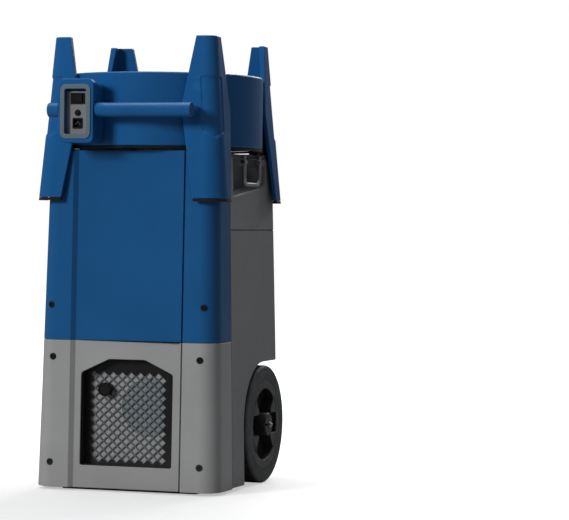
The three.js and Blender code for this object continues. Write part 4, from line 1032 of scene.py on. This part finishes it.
def fan_motor():
    """Finned can with a neck and a shaft."""
    low, high = span("fan_motor")
    z0 = low.z
    fins = []
    for i in range(9):
        z = z0 + 8 + 5 * i
        fins += [(54, z), (57.5, z + 0.6), (57.5, z + 2.4), (54, z + 3)]
    neck = [(54, z0 + 56), (50, z0 + 58), (26, z0 + 59), (26, z0 + 65), (7, z0 + 66)]
    neck += [(7, high.z), (0, high.z)]
    return lathe([(0, z0), (55, z0), (57, z0 + 2)] + fins + neck, 72)


def impeller():
    """Hub and six twisted blades with rounded tips."""
    low, high = span("fan_impeller")
    z0, z1 = low.z, high.z
    radius = high.x
    hub = [(7.6, z0), (54, z0), (56, z0 + 2), (52, z1 - 6), (46, z1), (12, z1), (7.6, z1 - 2)]
    cap = [(0, z1 - 4), (13, z1 - 4), (13, z1 - 0.5), (0, z1)]
    rings = []
    for i in range(15):
        share = i / 14
        r = 46 + (radius - 46) * share
        pitch = math.radians(36 - 18 * share)
        chord = 92 * (0.62 + 0.38 * share) * (1 - 0.12 * share ** 6)
        section = []
        for k in range(24):
            turn = 2 * math.pi * k / 24
            along = chord / 2 * math.cos(turn)
            camber = 5 * (1 - math.cos(turn) ** 2)
            thick = 1.8 * math.sin(turn) + camber
            y = along * math.cos(pitch) - thick * math.sin(pitch)
            z = along * math.sin(pitch) + thick * math.cos(pitch)
            section.append((r, y + 10 * share ** 2, (z0 + z1) / 2 + z * 0.72))
        rings.append(section)
    return together(lathe(hub, 64), lathe(cap, 32), *around(loft(rings), 6))


def coil(node):
    """Thin fins between two end plates."""
    low, high = span(node)
    end = high.x - 12
    walls = [(low.x + 4 * i, 0.9) for i in range(math.ceil((end - low.x) / 4))]
    walls += [(low.x - 0.5, 2), (end, 2)]
    return together(*[block(x, x + thick, low.y, high.y, low.z, high.z) for x, thick in walls])


def coil_bends(node):
    low, high = span(node)
    y = (low.y + high.y) / 2
    end = high.x - 11
    loops = []
    for i in range(6):
        z = low.z + (high.z - low.z) * (i + 0.5) / 6
        path = [(end, y - 12, z), (end + 12, y - 12, z), (end + 12, y + 12, z), (end, y + 12, z)]
        loops.append(sweep(path, 4, 12, bend=11, bend_steps=6))
    return together(*loops)


def compressor():
    low, high = span("compressor")
    x, y = (low.x + high.x) / 2, high.y - 66
    z1 = high.z
    shell = [(0, low.z + 10), (60, low.z + 10), (66, low.z + 18)]
    shell += [(66, low.z + 96), (67.5, low.z + 98), (67.5, low.z + 104), (66, low.z + 106), (66, z1 - 34)]
    shell += arc(36, z1 - 34, 30, 0, 80, 8) + [(0, z1 - 1)]
    return moved(lathe(shell, 72), (x, y, 0))


def pipe():
    low, high = span("refrigerant_line")
    x0, x1, y = low.x + 4.3, high.x - 4.3, (low.y + high.y) / 2
    path = [(x0, y, low.z), (x0, y, 262), (x1, y, 262), (x1, y, high.z)]
    return sweep(path, 4.8, 16, bend=10)


def blower_cage():
    """Squirrel-cage wheel with curved vanes, turned to face the inlet."""
    low, high = span("blower_wheel")
    radius, depth = (high.x - low.x) / 2, high.y - low.y
    rim = tube(radius - 14, radius, 0, 3.5, 72)
    back = tube(22, radius, depth - 4, depth, 72)
    front, inner, end = depth - 34, depth - 31, depth - 2
    cup = lathe([(0, front), (26, front), (26, end), (22.5, end), (22.5, inner), (0, inner)], 48)
    curve = [(radius - 12 + 3.6 * k, 3 * math.sin(k / 3 * math.pi)) for k in range(4)]
    outline = curve + [(x, y + 1) for x, y in reversed(curve)]
    vanes = around(prism_z(outline, 2, depth - 2), 32)
    centre = middle("blower_wheel")
    return moved(together(rim, back, cup, *vanes), (centre.x, low.y, centre.z), (-90, 0, 0))


# ---- assembly

def build_tower():
    ears = handle_ears()
    add_all("tower",
            ("front_cover_upper", cover_shell(UPPER_LOW.z, UPPER_HIGH.z), BLUE, "upper_front_cover", 1.4),
            ("front_cover_lower", lower_cover(), SILVER, "lower_front_cover", 1.4),
            ("housing_shell", main_housing(), GRAPHITE, "main_housing", 1.4),
            ("handle_ears_right", ears, GRAPHITE, None, 0.8),
            ("handle_ears_left", mirrored(ears), GRAPHITE, None, 0.8),
            ("deck_plate", deck_plate(), GRAPHITE, "top_deck"),
            ("deck_rim", deck_rim(), BLACK, None, 0.6, 2),
            ("deck_grille", deck_grille(), GRAPHITE, None, 0.6, 2),
            ("deck_horns", together(*around(horn(), 4)), GRAPHITE, None, 1.5),
            ("inlet_surround", inlet_surround(), BLACK, "inlet_frame", 0.8),
            ("inlet_lattice", grille_mesh(), GRILLE_METAL, "inlet_grille", 0.5, 2))
    refine_all("tower",
               ("base_pan", "base_pan_shell", GRAPHITE),
               ("front_skid", "skid_block", FOOT, 1.5),
               ("right_frame_rail", "rail_right", STEEL, 0),
               ("left_frame_rail", "rail_left", STEEL, 0))
    build_filter()
    build_drain_port()
    for side in ("upper_left", "upper_right", "middle_left", "middle_right", "bottom_left", "bottom_right"):
        node = side + "_screw"
        add_piece(node + "_head", on_corner(screw_head(), node), SCREW_BLACK, "tower", node, 0)


def sheet(node, margin, radius, y0, y1):
    """Rounded sheet as wide and high as a node less a margin."""
    low, high = span(node)
    outline = rounded_rect((low.x + high.x) / 2, (low.z + high.z) / 2, (high.x - low.x) / 2 - margin,
                           (high.z - low.z) / 2 - margin, radius)
    return prism_y(outline, y0, y1)


def build_filter():
    """Filter block, and a light cloth right behind the mesh with a round port seen through it."""
    low, high = span("air_filter")
    front = span("inlet_grille")[1].y + 0.5
    hole = moved(tube(0, PORT["radius"], 0, 8, 96), (PORT["x"], front + 4, PORT["z"]), (90, 0, 0))
    cloth = cut(sheet("inlet_grille", 1, 2, front, front + 1.5), hole)
    port = moved(tube(0, PORT["radius"] - 0.6, 0, 1.5, 96), (PORT["x"], front + 2.3, PORT["z"]), (90, 0, 0))
    add_all("tower",
            ("filter_panel", sheet("air_filter", 0, 6, low.y, high.y), FILTER, "air_filter"),
            ("filter_cloth", cloth, FILTER, None, 0.4),
            ("port_cloth", port, PORT_CLOTH, None, 0.4))


def add_knob(name, node, body, coat, profile, bevel, end="front", steps=48):
    """A turned piece in a node's place that faces forwards or backwards."""
    low, high = span(node)
    y, turn = (high.y, 90) if end == "front" else (low.y, -90)
    shape = moved(lathe(profile, steps), ((low.x + high.x) / 2, y, (low.z + high.z) / 2), (turn, 0, 0))
    add_piece(name, shape, coat, body, node, bevel)


def depth(node):
    low, high = span(node)
    return high.y - low.y


def build_drain_port():
    end = depth("drain_port")
    cup = [(0, 0), (14, 0), (14, end - 1.5), (12.8, end), (11.4, end), (10.6, end - 2), (0, end - 2)]
    add_knob("drain_cup", "drain_port", "tower", SWITCH_BLACK, cup, 0.4, steps=64)


def build_inside():
    for node in ("evaporator_coil", "condenser_coil"):
        add_piece(node + "_fins", coil(node), ALUMINIUM, "tower", node, 0)
        add_piece(node + "_bends", coil_bends(node), COPPER, "tower", None, 0)
    add_piece("compressor_shell", compressor(), BLACK_METAL, "tower", "compressor", 0)
    add_piece("copper_line", pipe(), COPPER, "tower", "refrigerant_line", 0)
    add_piece("blower_cage", blower_cage(), BLACK, "blower_rotor", "blower_wheel", 0)
    refine_all("tower",
               ("drip_tray", "water_tray", GREY),
               ("condensate_pump", "pump_case", GREY, 1),
               ("blower_housing", "blower_scroll", GREY, 0.8),
               ("blower_motor", "blower_motor_can", STEEL, 0.8))


def build_rear_panel():
    refine_all("tower",
               ("control_panel", "panel_plate", BLACK, 0.8),
               ("display_lens", "panel_lens", LENS, 0.8),
               ("power_inlet", "power_inlet_case", BLACK))
    for key in ("down", "power", "up"):
        node = key + "_button"
        end = depth(node)
        cap = [(0, 0), (10, 0), (10, 4), (8, 4), (8, end - 1), (7, end), (5.5, end - 0.6), (0, end - 1)]
        add_knob(node + "_cap", node, key + "_key", KEY_GREY, cap, 0.3, "back")


def build_wheels():
    low, high = span("right_axle")
    end = high.x
    rod = [(0, low.x), (16, low.x), (16, low.x + 8), (8, low.x + 8), (8, end - 1), (7, end), (0, end)]
    for side, flip in (("right", lambda bm: bm), ("left", mirrored)):
        add_all(side + "_wheel",
                (side + "_tyre_ring", flip(tyre()), TYRE, side + "_tyre", 0, 3, TREAD_SHADE),
                (side + "_wheel_centre", flip(rim_disc()), WHEEL_BLACK, side + "_rim", 1, 3, DISH_SHADE_BLACK),
                (side + "_hub_dome", flip(hub_cap()), HUB_GREY, side + "_hub_cap", 0.4, 3, DISH_SHADE_BLACK),
                (side + "_axle_nut", flip(axle_nut()), STEEL, None, 0.3))
        axle = flip(on_wheel(lathe(rod, 48)))
        add_piece(side + "_axle_rod", axle, STEEL, "tower", side + "_axle", 0.3)
        loop = flip(side_handle())
        add_piece(side + "_handle_loop", loop, HANDLE_METAL, side + "_handle", side + "_side_handle", 0)


def build_fan_unit():
    low, high = span("ring_seal")
    edge = high.x
    seal = [(edge - 7, low.z), (edge - 1, low.z), (edge, low.z + 1), (edge, high.z), (edge - 7, high.z)]
    add_all("fan_unit",
            ("fan_ring", ring(), BLUE_FAN, "fan_housing", 0),
            ("ring_gasket", lathe(seal, 128), FOOT, "ring_seal", 0),
            ("switch_box", switch_box(), BLUE_FAN, None, 2.2, 4),
            ("grip_bar", carry_handle(), BLUE_FAN, "carry_handle", 0.6),
            ("bezel_frame", bezel(), BEZEL_GREY, "switch_bezel", 0.8))
    for i, corner in enumerate(("rear_right", "rear_left", "front_left", "front_right")):
        turn = (0, 0, 90 * i)
        add_all("fan_unit",
                ("leg_" + corner, moved(leg(), turn=turn), BLUE_FAN, None, 1.6),
                ("web_" + corner, moved(web(), turn=turn), BLUE_FAN, None, 1.2),
                ("sole_" + corner, moved(foot(), turn=turn), FOOT, corner + "_foot", 0.8))
    refine("fan_unit", "switch_plate", "switch_panel", PLATE_GREY, 0.4)
    refine("fan_unit", "rocker_frame", "rocker_surround", SWITCH_BLACK, 0.5)
    refine("rocker_switch", "rocker", "rocker_key", SWITCH_BLACK, 0.5)
    build_socket()
    build_breaker()
    build_fan()


def build_socket():
    """Square three-pin inlet."""
    low, high = span("power_socket")
    x, y, z = (low.x + high.x) / 2, low.y, (low.z + high.z) / 2
    shell = cut(prism_y(rounded_rect(x, z, 11, 11, 2), y, y + 14),
                prism_y(rounded_rect(x, z, 8, 8, 1.5), y - 5, y + 10))
    pins = [block(x + dx - 0.8, x + dx + 0.8, y + 3, y + 11, z + dz - 1.8, z + dz + 1.8)
            for dx, dz in ((-4.2, -1), (0, 2.4), (4.2, -1))]
    add_all("fan_unit",
            ("socket_shell", shell, SWITCH_BLACK, "power_socket", 0.4),
            ("socket_pins", together(*pins), STEEL, None, 0.2, 2))


def build_breaker():
    end = depth("breaker_button")
    cap = [(0, 0), (8, 0), (8, 1.5), (6, 1.5), (6, end - 1), (5, end), (0, end - 0.5)]
    add_knob("breaker_cap", "breaker_button", "breaker", SWITCH_BLACK, cap, 0.3)


def build_fan():
    """Wire guard above, the motor on a wire cradle below, and the impeller between."""
    low, high = span("fan_guard")
    top = wire_guard(high.z - GUARD_WIRE, [30 + 17.2 * i for i in range(11)], 30)
    z0, z1 = low.z, high.z
    boss = lathe([(0, z0 - 2), (28, z0 - 2), (30, z0), (30, z1), (26, z1 + 1), (0, z1 + 1)], 48)
    low, high = span("motor_bracket")
    wires = wire_guard(low.z + 3.5, [74 + 18 * i for i in range(8)], 58)
    plate = tube(12, 62, low.z, high.z - 0.4)
    arms = around(block(60, RING_INNER - 1, -7, 7, low.z, low.z + 3), 6, 30)
    add_all("fan_unit",
            ("guard_wires", together(*top, boss), BLACK_METAL, "fan_guard", 0),
            ("motor_cradle", together(*wires, plate, *arms), BLACK_METAL, "motor_bracket", 0),
            ("motor_can", fan_motor(), BLACK_METAL, "fan_motor", 0))
    add_piece("fan_blades", impeller(), BLACK, "fan_rotor", "fan_impeller", 0)


# ---- stage, light and camera

AZIMUTH, PITCH, ROLL = (math.radians(degrees) for degrees in (18.25, 0.85, 0.66))
DISTANCE = 5.328  # metres, as the next three are
LOOK_HEIGHT = 0.45
SLIDE_RIGHT = 0.2638
SLIDE_UP = 0.0296
LENS_MM = 157.1


def build_floor():
    """Pale floor that fades into the white surroundings behind the object."""
    bm = bmesh.new()
    bmesh.ops.create_grid(bm, x_segments=24, y_segments=24, size=14)
    mesh = bpy.data.meshes.new("floor")
    bm.to_mesh(mesh)
    n = Nodes("pale_floor")
    speckle = n.ramp(n.noise(90, 4), 0.97, 1.0, 0.3, 0.7)
    camera = n.add("ShaderNodeLightPath").outputs["Is Camera Ray"]
    pale = n.mix(speckle, (0.55, 0.55, 0.55, 1), (0.62, 0.62, 0.62, 1))
    tone = n.mix(camera, (0.3, 0.3, 0.3, 1), pale)
    depth = n.add("ShaderNodeSeparateXYZ", Vector=n.place).outputs["Y"]
    glow = n.math("MULTIPLY", n.ramp(depth, 0.38, 1.0, -0.5, 2.6), camera)
    n.finish(Base_Color=tone, Roughness=n.ramp(n.noise(12, 3), 0.5, 0.65), Emission_Color=(1, 1, 1, 1),
             Emission_Strength=glow, Specular_IOR_Level=0.1)
    mesh.materials.append(n.material)
    floor = bpy.data.objects.new("floor", mesh)
    bpy.context.scene.collection.objects.link(floor)


def build_world():
    """White to the camera, and a dim cool light for everything else."""
    world = bpy.data.worlds.new("studio")
    bpy.context.scene.world = world
    world.use_nodes = True
    nodes, links = world.node_tree.nodes, world.node_tree.links
    nodes.clear()
    switch = nodes.new("ShaderNodeMixShader")
    for socket, tint, strength in ((1, (0.93, 0.96, 1, 1), 0.15), (2, (1, 1, 1, 1), 1.0)):
        glow = nodes.new("ShaderNodeBackground")
        glow.inputs["Color"].default_value = tint
        glow.inputs["Strength"].default_value = strength
        links.new(glow.outputs[0], switch.inputs[socket])
    links.new(nodes.new("ShaderNodeLightPath").outputs["Is Camera Ray"], switch.inputs[0])
    links.new(switch.outputs[0], nodes.new("ShaderNodeOutputWorld").inputs[0])


def area_light(name, place, target, size, power, mirrored_in_gloss=True):
    data = bpy.data.lights.new(name, "AREA")
    data.shape = "RECTANGLE"
    data.size, data.size_y = size
    data.energy = power
    light = bpy.data.objects.new(name, data)
    light.location = place
    light.rotation_mode = "QUATERNION"
    light.rotation_quaternion = (Vector(target) - Vector(place)).to_track_quat("-Z", "Y")
    light.visible_glossy = mirrored_in_gloss
    bpy.context.scene.collection.objects.link(light)


def build_lights():
    area_light("key", (-3.2, -6.1, 2.8), (0, 0, 0.5), (1.8, 1.8), 355, mirrored_in_gloss=False)
    area_light("top", (-0.3, 0.2, 3.2), (0, 0, 0.5), (2.2, 2.2), 55)
    area_light("back", (0.3, 4.6, 3.0), (0, 0, 0.8), (3.0, 1.4), 150)


def build_camera():
    """Long lens from the front right, a little above the horizon, with the object left of the middle."""
    level_right = Vector((math.cos(AZIMUTH), math.sin(AZIMUTH), 0))
    front = Vector((math.sin(AZIMUTH), -math.cos(AZIMUTH), 0))
    back = front * math.cos(PITCH) + Vector((0, 0, math.sin(PITCH)))
    level_up = back.cross(level_right)
    right = level_right * math.cos(ROLL) + level_up * math.sin(ROLL)
    up = level_up * math.cos(ROLL) - level_right * math.sin(ROLL)
    data = bpy.data.cameras.new("camera")
    data.lens = LENS_MM
    data.clip_end = 60
    camera = bpy.data.objects.new("camera", data)
    target = Vector((0, AXIS_Y, LOOK_HEIGHT))
    camera.location = target + back * DISTANCE + right * SLIDE_RIGHT + up * SLIDE_UP
    camera.rotation_mode = "QUATERNION"
    camera.rotation_quaternion = Matrix((right, up, back)).transposed().to_quaternion()
    bpy.context.scene.collection.objects.link(camera)
    bpy.context.scene.camera = camera


build_tower()
build_inside()
build_rear_panel()
build_wheels()
build_fan_unit()
build_floor()
build_world()
build_lights()
build_camera()
bpy.context.scene.view_settings.view_transform = "Standard"
